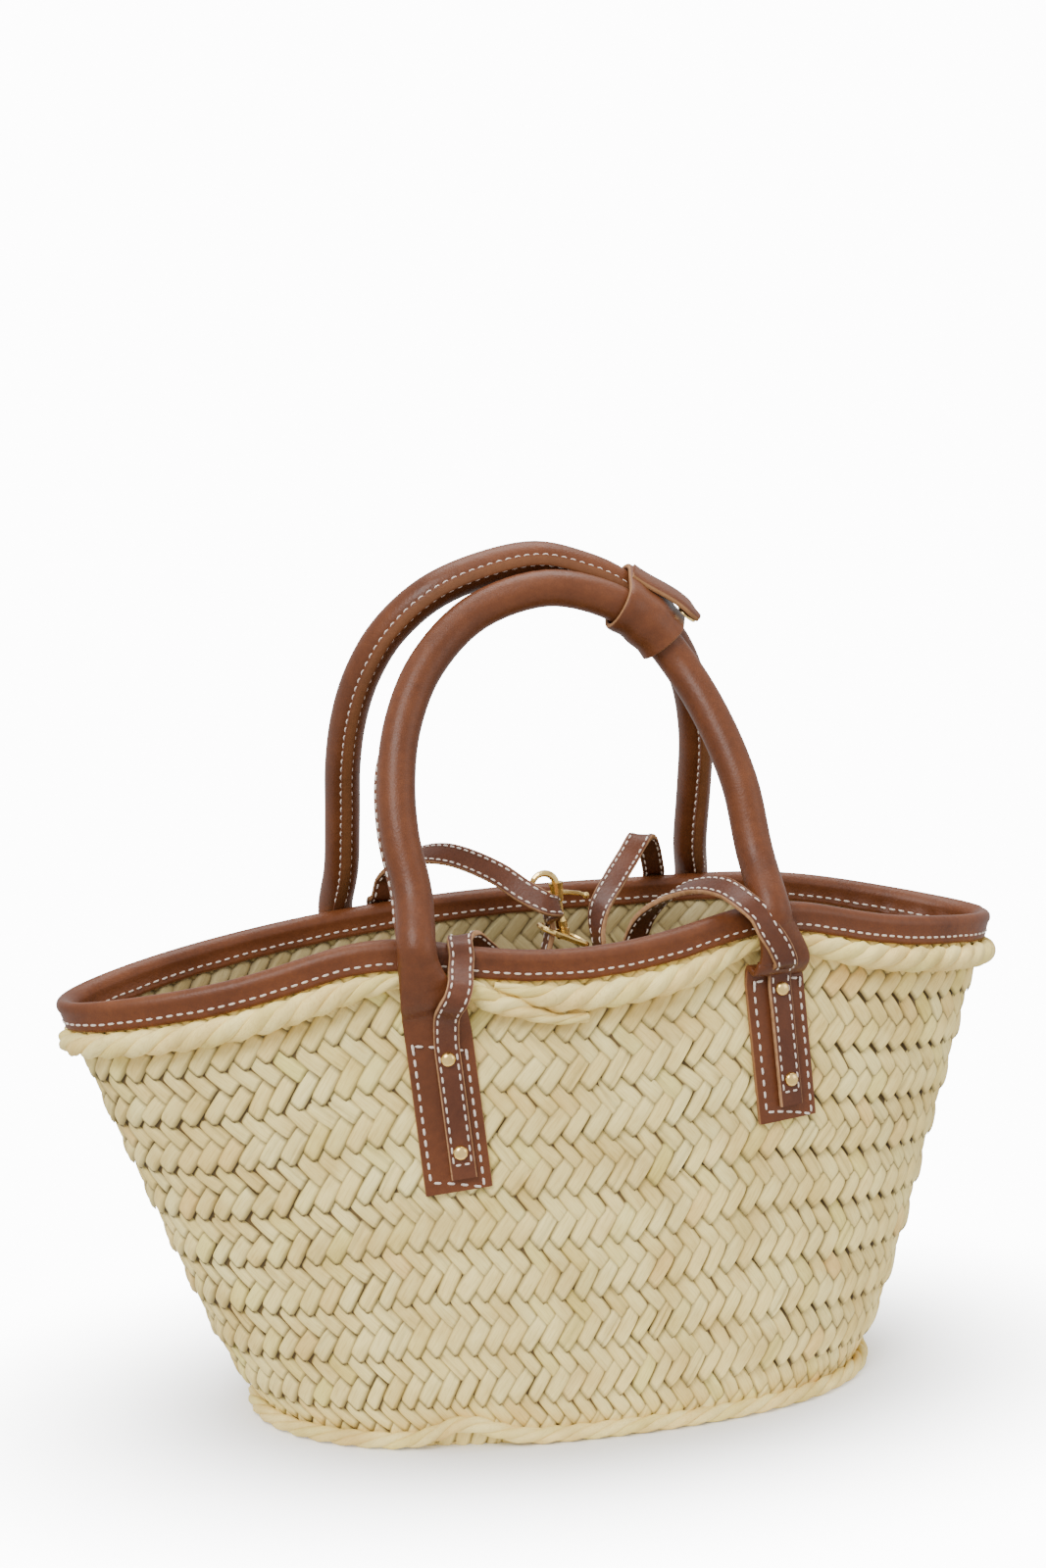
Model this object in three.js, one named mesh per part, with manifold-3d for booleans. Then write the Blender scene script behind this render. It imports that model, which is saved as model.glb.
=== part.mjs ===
// A straw basket bag with rolled leather handles, in millimetres, +Z up.
// +X runs along the bag, -Y is its front, and the origin lies on the floor under the basket's middle.
import * as THREE from "three";
import { mergeVertices } from "three/addons/utils/BufferGeometryUtils.js";
import Module from "manifold-3d";

const wasm = await Module();
wasm.setup();

// The basket
const RIM_HALF_LENGTH = 172;
const RIM_HALF_DEPTH = 53.5;
const RIM_HEIGHT = 169;
const BASE_HALF_LENGTH = 113.5;
const BASE_HALF_DEPTH = 56.5;
const BASE_ROUNDING = 6;
const BASE_ROUNDING_HEIGHT = 13.5;
const BASE_SQUARENESS = 0.38;
const END_TUCK = 1.4;
const SIDE_TUCK = 0.8;
const WALL = 2.8;
const FLOOR = 3;
const TIP_DROOP = 14.5;
const HANDLE_PULL = 7.5;
const FRONT_SAG = 3.5;
const BACK_LIFT = 3.4;
const RIM_TILT = 0.039;
const LEAN_BACK = 0.088;
const LEAN_LEFT = 0.02;
const CLEARANCE = 0.3;
const LEATHER_EASE = 0.2;

// The ropes
const RIM_CORD_DIAMETER = 9.4;
const BASE_CORD_DIAMETER = 5.6;
const CORD_SEAT = 0.6;
const CORD_OVERLAP_START = -34;
const CORD_OVERLAP_LENGTH = 21;
const CORD_TAIL_LENGTH = 9;
const CORD_DIP_TURN = 0.04;
const CORD_TIP_SHARE = 0.3;
const CORD_TAIL_SHARE = 0.45;
const CORD_SQUEEZE = 0.66;
const CORD_SQUEEZE_WIDTH = 19;
const TIP_SQUEEZE = 0.14;
const BASE_HUMP_X = -48;
const BASE_HUMP_WIDTH = 9.5;
const BASE_HUMP_HEIGHT = 6;

// The leather
const BINDING_DEPTH = 10;
const BINDING_LEATHER = 1.8;
const HANDLE_DIAMETER = 13;
const FRONT_HANDLE_HALF_SPAN = 62;
const FRONT_HANDLE_RISE = 115;
const BACK_HANDLE_HALF_SPAN = 68;
const BACK_HANDLE_RISE = 125;
const HANDLES_MEET_Y = 11.5;
const HANDLES_MEET_X = 31;
const HANDLE_SPACING = 12;
const TAB_WIDTH = 22.5;
const TAB_LENGTH = 52;
const TAB_LEATHER = 2.4;
const KEEPER_LENGTH = 23;
const KEEPER_LEATHER = 1.8;
const KEEPER_SLACK = 0.8;
const KEEPER_FLAP_LENGTH = 27;
const KEEPER_FLAP_WIDTH = 15;
const SHOULDER_SLOPE = 0.72;
const FLAP_ROOT = 1.2;
const FLAP_LIFT = 2.6;
const FLAP_TIP = 0.45;
const STUD_DIAMETER = 8;
const STUD_HEIGHT = 1.6;
const STRAP_WIDTH = 8.5;
const STRAP_LEATHER = 2;
const STRAP_SLACK = 20;
const STRAP_EASE = 1;

// The brass
const RIVET_DIAMETER = 4.6;
const RIVET_HEIGHT = 1.3;
const RIVET_UPPER = 0.87;
const RIVET_LOWER = 0.27;
const CLASP_X = 4.2;
const CLASP_Y = 15;
const CLASP_BELOW_RIM = 9.5;
const CLASP_LEAN = 8;
const RING_LENGTH = 20;
const RING_DEPTH = 17;
const RING_WIRE = 2;
const RING_TILT = 31;
const COLLAR_DIAMETER = 5;
const COLLAR_HEIGHT = 2.4;
const POST_DIAMETER = 1.8;
const POST_LENGTH = 4;
const COLUMN_DIAMETER = 4.2;
const WAIST_DIAMETER = 2.9;
const WAIST_HEIGHT = 1.5;
const HOOK_BODY = 5.4;
const HOOK_TAPER = 0.36;
const HOOK_START = -12;
const HOOK_END = 196;
const SLOT_HEIGHT = 4.6;
const HOOK_WIRE = 2.5;
const HOOK_RADIUS = 4.4;
const PIVOT_HEIGHT = 16;
const PIN_DIAMETER = 1.2;
const LEVER_THICKNESS = 1.6;
const THUMB_LENGTH = 10.5;
const LEVER_DROP = 3.3;
const BOSS_RADIUS = 1.7;

// How finely the surfaces are divided
const ROUND_STEPS = 64;
const CORD_SIDES = 8;
const HANDLE_SIDES = 12;

// Small helpers
const mix = THREE.MathUtils.lerp;
const smooth = THREE.MathUtils.smoothstep;
const radians = THREE.MathUtils.degToRad;
const vec = (x, y, z) => new THREE.Vector3(x, y, z);
const range = (count) => [...Array(count).keys()];
const bell = (distance) => Math.exp(-distance * distance);

// The clasp hangs from the straps, so it keeps its place below the rim
const CLASP_Z = RIM_HEIGHT - CLASP_BELOW_RIM;

// The leather's stack outwards from the basket's wall
const BINDING_FACE = CLEARANCE + BINDING_LEATHER;
const TAB_SEAT = CLEARANCE + LEATHER_EASE;
const STRAP_SEAT = TAB_SEAT + TAB_LEATHER + CLEARANCE;
const STRAP_FACE = STRAP_SEAT + STRAP_LEATHER + LEATHER_EASE;
const LEG_FACE = CLEARANCE + CORD_SEAT + RIM_CORD_DIAMETER * CORD_SQUEEZE;
const BEAD_RADIUS = (WALL + 2 * BINDING_FACE) / 2;
const WALL_TOP = BEAD_RADIUS + CLEARANCE;
const CORD_DROP = BINDING_DEPTH + CLEARANCE + RIM_CORD_DIAMETER / 2;

// The rim's waves: where each stands, as the sine of its angle, how wide it is and how high
const RIM_WAVES = [
  { face: "front", side: -0.42, width: 0.2, height: HANDLE_PULL },
  { face: "front", side: 0.42, width: 0.2, height: HANDLE_PULL },
  { face: "front", side: 0, width: 0.25, height: -FRONT_SAG },
  { face: "back", side: 0.62, width: 0.26, height: BACK_LIFT },
];

// The rim's height at an angle round the bag: 0 is the middle of the front, a quarter turn the right tip
function rimHeight(angle) {
  const side = Math.sin(angle);
  const front = Math.cos(angle) > 0 ? 1 : 0;
  const wave = (row) => row.height * bell((side - row.side) / row.width) * (row.face === "front" ? front : 1 - front);
  const waves = RIM_WAVES.reduce((sum, row) => sum + wave(row), 0);
  return RIM_HEIGHT - TIP_DROOP * side * side + waves + RIM_TILT * side * RIM_HALF_LENGTH;
}

// A point of the basket's skin at a share of its height, moved outwards; the plan turns from a
// rounded oblong at the floor into a pointed oval at the rim
function skinAt(angle, share, out) {
  const tuck = BASE_ROUNDING * Math.exp((-share * RIM_HEIGHT) / BASE_ROUNDING_HEIGHT);
  const halfLength = mix(BASE_HALF_LENGTH, RIM_HALF_LENGTH, share) - END_TUCK * tuck + out;
  const halfDepth = mix(BASE_HALF_DEPTH, RIM_HALF_DEPTH, share) - SIDE_TUCK * tuck + out;
  const squareness = mix(BASE_SQUARENESS, 0, share);
  const side = Math.sin(angle);
  const z = share * rimHeight(angle);
  const x = halfLength * side - LEAN_LEFT * z;
  const y = -halfDepth * Math.cos(angle) * Math.sqrt(1 + squareness * side * side) + LEAN_BACK * z;
  return vec(x, y, z);
}

// The same point by its distance below the rim
function skin(angle, drop, out) {
  return skinAt(angle, 1 - drop / rimHeight(angle), out);
}

// The angle at which the skin has a given x, on the front (1) or the back (-1)
function angleAt(x, drop, face) {
  let angle = 0;
  for (const step of range(12)) {
    const miss = x - skin(face > 0 ? angle : Math.PI - angle, drop, 0).x;
    angle += miss / (RIM_HALF_LENGTH * (1 + 0.02 * step));
  }
  return face > 0 ? angle : Math.PI - angle;
}

// A closed surface through rings of points: a loop of rings, or a stack with a cap at each end
function loft(rings, isLoop) {
  const count = rings[0].length;
  const points = rings.flat();
  const faces = [];
  const last = isLoop ? rings.length : rings.length - 1;
  for (const i of range(last)) {
    const a = i * count;
    const b = ((i + 1) % rings.length) * count;
    for (const j of range(count)) {
      const k = (j + 1) % count;
      faces.push(a + j, a + k, b + k, a + j, b + k, b + j);
    }
  }
  if (!isLoop) {
    for (const [ring, flip] of [[0, true], [rings.length - 1, false]]) {
      const middle = rings[ring].reduce((sum, p) => sum.add(p), vec(0, 0, 0)).divideScalar(count);
      points.push(middle);
      const centre = points.length - 1;
      for (const j of range(count)) {
        const a = ring * count + j;
        const b = ring * count + ((j + 1) % count);
        faces.push(...(flip ? [centre, b, a] : [centre, a, b]));
      }
    }
  }
  return facingOut(points, faces);
}

// A geometry from points and faces, turned so that its faces point out
function facingOut(points, faces) {
  let volume = 0;
  for (let i = 0; i < faces.length; i += 3) {
    const [a, b, c] = [points[faces[i]], points[faces[i + 1]], points[faces[i + 2]]];
    volume += a.dot(vec(0, 0, 0).crossVectors(b, c));
  }
  const order = volume < 0 ? faces.toReversed() : faces;
  const geometry = new THREE.BufferGeometry().setFromPoints(points);
  geometry.setIndex(order);
  return geometry;
}

// A round or flattened section about a centre, from its half sizes; corner 1 is an ellipse and 0 a box
function section(centre, across, through, halfWidth, halfThickness, corner, sides) {
  return range(sides).map((i) => {
    const turn = ((i + 0.5) / sides) * 2 * Math.PI;
    const c = Math.cos(turn);
    const s = Math.sin(turn);
    const u = halfWidth * Math.sign(c) * Math.abs(c) ** corner;
    const v = halfThickness * Math.sign(s) * Math.abs(s) ** corner;
    return centre.clone().addScaledVector(across, u).addScaledVector(through, v);
  });
}

// A box or a rounded strip as a flat section of four corners
function stripSection(centre, across, through, width, thickness) {
  const corners = [[1, 1], [-1, 1], [-1, -1], [1, -1]];
  return corners.map(([u, v]) =>
    centre.clone().addScaledVector(across, (u * width) / 2).addScaledVector(through, (v * thickness) / 2),
  );
}

// Solids that are joined or cut
function solid(geometry) {
  const bare = new THREE.BufferGeometry().setAttribute("position", geometry.getAttribute("position"));
  if (geometry.index) bare.setIndex(geometry.index);
  const merged = mergeVertices(bare, 1e-4);
  return new wasm.Manifold(
    new wasm.Mesh({
      numProp: 3,
      vertProperties: merged.attributes.position.array,
      triVerts: new Uint32Array(merged.index.array),
    }),
  );
}

function geometryOf(manifold) {
  const mesh = manifold.getMesh();
  const geometry = new THREE.BufferGeometry();
  geometry.setAttribute("position", new THREE.BufferAttribute(mesh.vertProperties.slice(), 3));
  geometry.setIndex(new THREE.BufferAttribute(mesh.triVerts.slice(), 1));
  return geometry;
}

// The hollow basket: up the outside, over the top, down the inside to the floor
function basketBody() {
  const outer = [0, 0.02, 0.06, 0.12, 0.22, 0.36, 0.52, 0.68, 0.84];
  const angles = range(ROUND_STEPS).map((i) => (i / ROUND_STEPS) * 2 * Math.PI);
  const ring = (place) => angles.map(place);
  const rings = outer.map((share) => ring((angle) => skinAt(angle, share, 0)));
  rings.push(ring((angle) => skin(angle, WALL_TOP, 0)));
  rings.push(ring((angle) => skin(angle, WALL_TOP, -WALL)));
  for (const share of outer.slice(2).toReversed()) {
    rings.push(ring((angle) => skinAt(angle, share, -WALL)));
  }
  rings.push(ring((angle) => skinAt(angle, 0.02, -WALL).setZ(FLOOR)));
  return loft(rings, false);
}

// The leather binding: a bead along the top and a flange down each side of the wall
function rimBinding() {
  const bead = range(7).map((i) => {
    const turn = (i / 6) * Math.PI;
    return [-WALL / 2 + BEAD_RADIUS * Math.cos(turn), BEAD_RADIUS * (1 - Math.sin(turn))];
  });
  const inside = [
    [-WALL - BINDING_FACE, BINDING_DEPTH],
    [-WALL - CLEARANCE, BINDING_DEPTH],
    [-WALL - CLEARANCE, WALL_TOP - CLEARANCE],
    [CLEARANCE, WALL_TOP - CLEARANCE],
    [CLEARANCE, BINDING_DEPTH],
    [BINDING_FACE, BINDING_DEPTH],
  ];
  const profile = [...bead, ...inside];
  const rings = range(ROUND_STEPS).map((i) => {
    const angle = (i / ROUND_STEPS) * 2 * Math.PI;
    return profile.map(([out, drop]) => skin(angle, drop, out));
  });
  return loft(rings, true);
}

// A rope from rows of an angle, a drop below the rim, a distance out and a radius
function rope(rows, isLoop) {
  const centres = rows.map((row) => skin(row.angle, row.drop, row.out));
  const rings = rows.map((row, i) => {
    const before = centres[isLoop ? (i + rows.length - 1) % rows.length : Math.max(i - 1, 0)];
    const after = centres[isLoop ? (i + 1) % rows.length : Math.min(i + 1, rows.length - 1)];
    const along = after.clone().sub(before).normalize();
    const through = vec(0, 0, 1).addScaledVector(along, -along.z).normalize();
    const across = vec(0, 0, 0).crossVectors(along, through);
    return section(centres[i], across, through, row.radius, row.radius, 1, CORD_SIDES);
  });
  return loft(rings, isLoop);
}

// The share of the rim rope's thickness left under the handles' legs and at the basket's tips
function cordSqueeze(angle) {
  const x = skin(angle, CORD_DROP, 0).x;
  const face = Math.cos(angle) > 0 ? 1 : -1;
  const legs = Object.values(TABS).filter((tab) => tab.face === face);
  const near = Math.max(...legs.map((tab) => bell((x - tab.legX) / CORD_SQUEEZE_WIDTH)));
  return 1 - (1 - CORD_SQUEEZE) * near - TIP_SQUEEZE * Math.sin(angle) ** 8;
}

// The rope under the binding: one turn whose thinned ends pass each other at the front,
// the tail under the head
function rimCord() {
  const radius = RIM_CORD_DIAMETER / 2;
  const tip = radius * CORD_TIP_SHARE;
  const start = angleAt(CORD_OVERLAP_START, CORD_DROP, 1);
  const overlap = angleAt(CORD_OVERLAP_START + CORD_OVERLAP_LENGTH, CORD_DROP, 1) - start;
  const tail = angleAt(CORD_OVERLAP_START + CORD_OVERLAP_LENGTH + CORD_TAIL_LENGTH, CORD_DROP, 1) - start;
  const total = 2 * Math.PI + tail;
  const steps = ROUND_STEPS + 14;
  const headRadius = (past) => mix(tip, radius, smooth(past, 0, overlap));
  const rows = range(steps + 1).map((i) => {
    const gone = (i / steps) * total;
    const past = gone - 2 * Math.PI;
    const head = headRadius(gone);
    const clear = 2 * headRadius(Math.max(past, 0)) + CLEARANCE;
    const dip = clear * smooth(past, -CORD_DIP_TURN, 0);
    const taper = mix(1, CORD_TAIL_SHARE, smooth(past, tail * 0.6, tail));
    const thickness = past > -CORD_DIP_TURN ? radius * taper : head;
    const raise = gone < overlap ? radius - head : 0;
    const squeeze = cordSqueeze(start + gone);
    const upwards = (radius - thickness) * (past > 0 ? 1 : 0) + radius * (1 - squeeze);
    return {
      angle: start + gone,
      drop: CORD_DROP - raise + dip - upwards,
      out: CLEARANCE + CORD_SEAT + radius * squeeze,
      radius: thickness * squeeze,
    };
  });
  return rope(rows, false);
}

// The slope of the wall at a drop below the rim, as the cosine of its angle to the vertical
function uprightness(angle, drop) {
  const rise = skin(angle, drop - 1, 0).sub(skin(angle, drop + 1, 0));
  return rise.z / rise.length();
}

// The rope round the foot, with the small hump of the front
function baseCord() {
  const radius = BASE_CORD_DIAMETER / 2;
  const steps = ROUND_STEPS;
  const rows = range(steps).map((i) => {
    const angle = (i / steps) * 2 * Math.PI;
    const x = BASE_HALF_LENGTH * Math.sin(angle);
    const near = Math.cos(angle) > 0 ? bell((x - BASE_HUMP_X) / BASE_HUMP_WIDTH) : 0;
    const drop = rimHeight(angle) - radius - BASE_HUMP_HEIGHT * near;
    return { angle, drop, out: (radius + CLEARANCE) / uprightness(angle, drop), radius };
  });
  return rope(rows, true);
}

// One leg of a handle, from the tab's lower end to the rim. tab is the share of the tab's length, cord
// the height above the rim rope's middle in its radii, over the share of the rope that is passed over;
// width and round go from the tab's to the rolled handle's
const LEG_ROWS = [
  { tab: 0, width: 0, round: 0, over: 0 },
  { tab: 0.35, width: 0, round: 0, over: 0 },
  { tab: 0.7, width: 0, round: 0, over: 0 },
  { tab: 0.92, width: 0, round: 0, over: 0 },
  { tab: 1, width: 0, round: 0, over: 0.04 },
  { cord: -1.7, width: 0.06, round: 0.03, over: 0.42 },
  { cord: -0.8, width: 0.2, round: 0.1, over: 0.96 },
  { cord: 0, width: 0.4, round: 0.22, over: 1.04 },
  { cord: 1, width: 0.65, round: 0.45, over: 0.95 },
  { cord: 2, width: 0.85, round: 0.72, over: 0.72 },
  { cord: 3.1, width: 1, round: 0.95, over: 0.5 },
];

// The arch of the front handle from its left leg to its right one: x as a share of its half span,
// z of its rise above the rim, and y from the rim towards the meeting place of the two handles
const FRONT_ARCH = [
  { x: -0.97, z: 0.146, y: 0.22 },
  { x: -1.012, z: 0.312, y: 0.38 },
  { x: -1.001, z: 0.472, y: 0.55 },
  { x: -0.932, z: 0.627, y: 0.72 },
  { x: -0.774, z: 0.789, y: 0.87 },
  { x: -0.466, z: 0.939, y: 1 },
  { x: -0.058, z: 1.008, y: 1 },
  { x: 0.295, z: 0.97, y: 1 },
  { x: 0.521, z: 0.897, y: 1 },
  { x: 0.69, z: 0.793, y: 0.985 },
  { x: 0.845, z: 0.624, y: 0.76 },
  { x: 0.955, z: 0.42, y: 0.5 },
  { x: 0.995, z: 0.214, y: 0.3 },
];

const BACK_ARCH = [
  { x: -1.01, z: 0.089, y: 0.18 },
  { x: -1.019, z: 0.258, y: 0.34 },
  { x: -1.032, z: 0.419, y: 0.5 },
  { x: -1.017, z: 0.561, y: 0.67 },
  { x: -0.961, z: 0.688, y: 0.82 },
  { x: -0.843, z: 0.807, y: 0.93 },
  { x: -0.633, z: 0.913, y: 1 },
  { x: -0.343, z: 0.979, y: 1 },
  { x: -0.063, z: 1.006, y: 1 },
  { x: 0.157, z: 0.98, y: 1 },
  { x: 0.337, z: 0.94, y: 1 },
  { x: 0.512, z: 0.867, y: 1 },
  { x: 0.686, z: 0.762, y: 0.97 },
  { x: 0.818, z: 0.636, y: 0.84 },
  { x: 0.907, z: 0.483, y: 0.66 },
  { x: 0.965, z: 0.303, y: 0.4 },
  { x: 0.995, z: 0.124, y: 0.2 },
];

// The four tabs: the middle of the upper end, its distance below the rim, how far the lower end stands
// to the side, the wall (1 front, -1 back), where the rolled leg passes the rim, how far the strap lies
// beside the tab's middle and how far beside the leg the strap crosses the rim
const TABS = {
  frontLeft: { x: -53.3, drop: 31, foot: 5.2, face: 1, legX: -58.5, strap: 2.6, beside: 14.6 },
  frontRight: { x: 64.3, drop: 26, foot: 4, face: 1, legX: 59, strap: 0, beside: -12.8 },
  backLeft: { x: -64, drop: 27, foot: 3, face: -1, legX: -66, strap: 0, beside: 12.8 },
  backRight: { x: 67, drop: 27, foot: -2, face: -1, legX: 68, strap: 0, beside: -13.8 },
};

// A place on the wall under a handle's end: the point outside the skin and the directions there
function wallFrame(x, drop, out, face) {
  const angle = angleAt(x, drop, face);
  const point = skin(angle, drop, out);
  const across = skin(angle + 0.01, drop, out).sub(point).normalize();
  const up = skin(angle, drop - 1, out).sub(point).normalize();
  const through = vec(0, 0, 0).crossVectors(across, up).normalize();
  return { point, across, through };
}

// The distance below the rim of a row of a leg, and its sideways place
function legDrop(tab, row) {
  if (row.cord === undefined) return tab.drop + TAB_LENGTH * (1 - row.tab);
  return CORD_DROP - (row.cord * RIM_CORD_DIAMETER) / 2;
}

function legX(tab, row) {
  if (row.cord === undefined) return tab.x + tab.foot * (1 - row.tab);
  return mix(tab.legX, tab.x, smooth(legDrop(tab, row), 0, tab.drop));
}

function legThickness(row) {
  return mix(TAB_LEATHER, HANDLE_DIAMETER, row.round);
}

function legStation(tab, row) {
  const width = mix(TAB_WIDTH, HANDLE_DIAMETER, row.width) / 2;
  const thickness = legThickness(row) / 2;
  const out = TAB_SEAT + thickness + LEG_FACE * row.over;
  const frame = wallFrame(legX(tab, row), legDrop(tab, row), out, tab.face);
  const corner = mix(0.3, 1, smooth(row.width, 0, 0.7));
  return { centre: frame.point, across: frame.across, width, thickness, corner };
}

function archStation(row, halfSpan, rise, meetY, face) {
  const x = row.x * halfSpan;
  const z = RIM_HEIGHT + row.z * rise;
  const rimY = skin(angleAt(x, 0, face), 0, BINDING_FACE + CLEARANCE + HANDLE_DIAMETER / 2).y;
  const radius = HANDLE_DIAMETER / 2;
  return { centre: vec(x, mix(rimY, meetY, row.y), z), across: null, width: radius, thickness: radius, corner: 1 };
}

// A handle's stations, smoothed along a curve through their centres
function handleStations(leftTab, rightTab, arch, halfSpan, rise, meetY, face) {
  const stations = [
    ...LEG_ROWS.map((row) => legStation(leftTab, row)),
    ...arch.map((row) => archStation(row, halfSpan, rise, meetY, face)),
    ...LEG_ROWS.toReversed().map((row) => legStation(rightTab, row)),
  ];
  const curve = new THREE.CatmullRomCurve3(stations.map((s) => s.centre), false, "centripetal");
  return { stations, curve };
}

function handle(parts) {
  const { stations, curve } = parts;
  const last = stations.length - 1;
  const perStep = (i) => (i >= LEG_ROWS.length - 1 && i < last - LEG_ROWS.length + 1 ? 2 : 1);
  const rings = [];
  let across = stations[0].across.clone();
  for (const i of range(last + 1)) {
    const steps = i < last ? perStep(i) : 1;
    for (const k of range(steps)) {
      const t = (i + k / steps) / last;
      const share = k / steps;
      const a = stations[i];
      const b = stations[Math.min(i + 1, last)];
      const along = curve.getTangent(Math.min(t, 1));
      if (a.across && k === 0) across = a.across.clone().multiplyScalar(Math.sign(a.across.dot(across)));
      across = across.clone().addScaledVector(along, -across.dot(along)).normalize();
      const through = vec(0, 0, 0).crossVectors(along, across);
      const at = (key) => mix(a[key], b[key], share);
      const centre = curve.getPoint(Math.min(t, 1));
      rings.push(section(centre, across, through, at("width"), at("thickness"), at("corner"), HANDLE_SIDES));
    }
  }
  return loft(rings, false);
}

const FRONT_HANDLE = handleStations(
  TABS.frontLeft,
  TABS.frontRight,
  FRONT_ARCH,
  FRONT_HANDLE_HALF_SPAN,
  FRONT_HANDLE_RISE,
  HANDLES_MEET_Y - HANDLE_SPACING / 2,
  1,
);
const BACK_HANDLE = handleStations(
  TABS.backLeft,
  TABS.backRight,
  BACK_ARCH,
  BACK_HANDLE_HALF_SPAN,
  BACK_HANDLE_RISE,
  HANDLES_MEET_Y + HANDLE_SPACING / 2,
  -1,
);

// Points along a handle's right shoulder, and the nearest of them by some measure
function shoulder(parts, measure) {
  const samples = range(601).map((i) => parts.curve.getPoint(0.5 + (i / 600) * 0.3));
  return samples.reduce((best, p) => (measure(p) < measure(best) ? p : best));
}

// The keeper's frame across both handles at a share of its length
function keeperFrame(share) {
  const shoulderX = (x) => shoulder(FRONT_HANDLE, (p) => Math.abs(p.x - x));
  const x = HANDLES_MEET_X + (share - 0.5) * KEEPER_LENGTH * SHOULDER_SLOPE;
  const front = shoulderX(x);
  const ahead = shoulderX(x + 2).sub(shoulderX(x - 2)).normalize();
  const back = shoulder(BACK_HANDLE, (p) => Math.abs(p.clone().sub(front).dot(ahead)));
  const side = back.clone().sub(front).normalize();
  const up = vec(0, 0, 0).crossVectors(ahead, side).normalize();
  return { front, back, ahead, side, up };
}

// The stadium round both handles at a distance from their surfaces
function keeperRing(share, away) {
  const { front, back, side, up } = keeperFrame(share);
  const radius = HANDLE_DIAMETER / 2 + away;
  const half = HANDLE_SIDES;
  return range(2 * half).map((i) => {
    const onBack = i < half;
    const turn = ((i % half) / (half - 1)) * Math.PI - Math.PI / 2 + (onBack ? 0 : Math.PI);
    const centre = onBack ? back : front;
    return centre
      .clone()
      .addScaledVector(side, radius * Math.cos(turn))
      .addScaledVector(up, radius * Math.sin(turn));
  });
}

function keeperSleeve() {
  const shares = [0, 0.25, 0.5, 0.75, 1];
  const outer = shares.map((share) => keeperRing(share, KEEPER_SLACK + KEEPER_LEATHER));
  const inner = shares.toReversed().map((share) => keeperRing(share, KEEPER_SLACK));
  return loft([...outer, ...inner], true);
}

// The flap's line on the keeper's upper side: it leaves the sleeve and stands off over the stud
function flapPoint(share) {
  const { front, back, ahead, side, up } = keeperFrame(0.5);
  const start = front.clone().lerp(back, 0.8);
  const reach = -0.5 * KEEPER_LENGTH + share * KEEPER_FLAP_LENGTH;
  const sign = up.z > 0 ? 1 : -1;
  const surface = HANDLE_DIAMETER / 2 + KEEPER_SLACK + KEEPER_LEATHER / 2;
  const lift = surface + FLAP_ROOT + FLAP_LIFT * smooth(share, 0, 0.7);
  return {
    centre: start.addScaledVector(ahead, reach).addScaledVector(up, sign * lift),
    side,
    up: up.clone().multiplyScalar(sign),
    ahead,
    surface,
  };
}

function keeperFlap() {
  const shares = [0, 0.25, 0.5, 0.75, 0.9, 1];
  const rings = shares.map((share) => {
    const { centre, side, up } = flapPoint(share);
    const width = KEEPER_FLAP_WIDTH * mix(1, FLAP_TIP, smooth(share, 0.8, 1));
    return stripSection(centre, side, up, width, KEEPER_LEATHER);
  });
  return loft(rings, false);
}

function handleKeeper() {
  return geometryOf(solid(keeperSleeve()).add(solid(keeperFlap())));
}

// The stud between the flap's free end and the sleeve
function keeperStud() {
  const { centre, up } = flapPoint(0.86);
  const head = new THREE.CylinderGeometry(STUD_DIAMETER / 2, STUD_DIAMETER / 2, STUD_HEIGHT, 16);
  head.applyQuaternion(new THREE.Quaternion().setFromUnitVectors(vec(0, 1, 0), up));
  const below = centre.addScaledVector(up, -KEEPER_LEATHER / 2 - CLEARANCE - STUD_HEIGHT / 2);
  return head.translate(below.x, below.y, below.z);
}

// A strap's outer stretch up its tab, over the end of the leg and beside it to the rim: rows as of a
// leg, with the sideways share of the way to where the strap crosses the rim
const STRAP_CLIMB = [
  { tab: 0.1, round: 0, over: 0, shift: 0 },
  { tab: 0.35, round: 0, over: 0, shift: 0 },
  { tab: 0.7, round: 0, over: 0.02, shift: 0 },
  { tab: 0.93, round: 0, over: 0.03, shift: 0 },
  { tab: 1, round: 0.06, over: 0.12, shift: 0.03 },
  { cord: -1.7, round: 0.12, over: 0.66, shift: 0.15 },
  { cord: -0.8, round: 0.26, over: 1.19, shift: 0.35 },
  { cord: 0, round: 0.4, over: 1.22, shift: 0.62 },
  { cord: 0.9, round: 0.1, over: 1.45, shift: 0.98 },
  { cord: 1.7, round: 0, over: 0.62, shift: 1 },
];

function strapClimb(tab) {
  const crossX = tab.legX + tab.beside;
  const rows = STRAP_CLIMB.map((row) => {
    const out = TAB_SEAT + legThickness(row) + CLEARANCE + STRAP_LEATHER / 2 + LEG_FACE * row.over;
    const x = mix(legX(tab, row) + tab.strap, crossX, row.shift);
    const frame = wallFrame(x, legDrop(tab, row), out, tab.face);
    return { centre: frame.point, across: frame.across.multiplyScalar(tab.face) };
  });
  const angle = angleAt(crossX, 0, tab.face);
  const round = BEAD_RADIUS + STRAP_EASE + STRAP_LEATHER / 2;
  for (const turn of [5, 45, 90]) {
    const out = round * Math.cos(radians(turn)) - WALL / 2;
    const drop = BEAD_RADIUS - round * Math.sin(radians(turn));
    rows.push({ centre: skin(angle, drop, out), across: vec(1, 0, 0) });
  }
  return rows;
}

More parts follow.
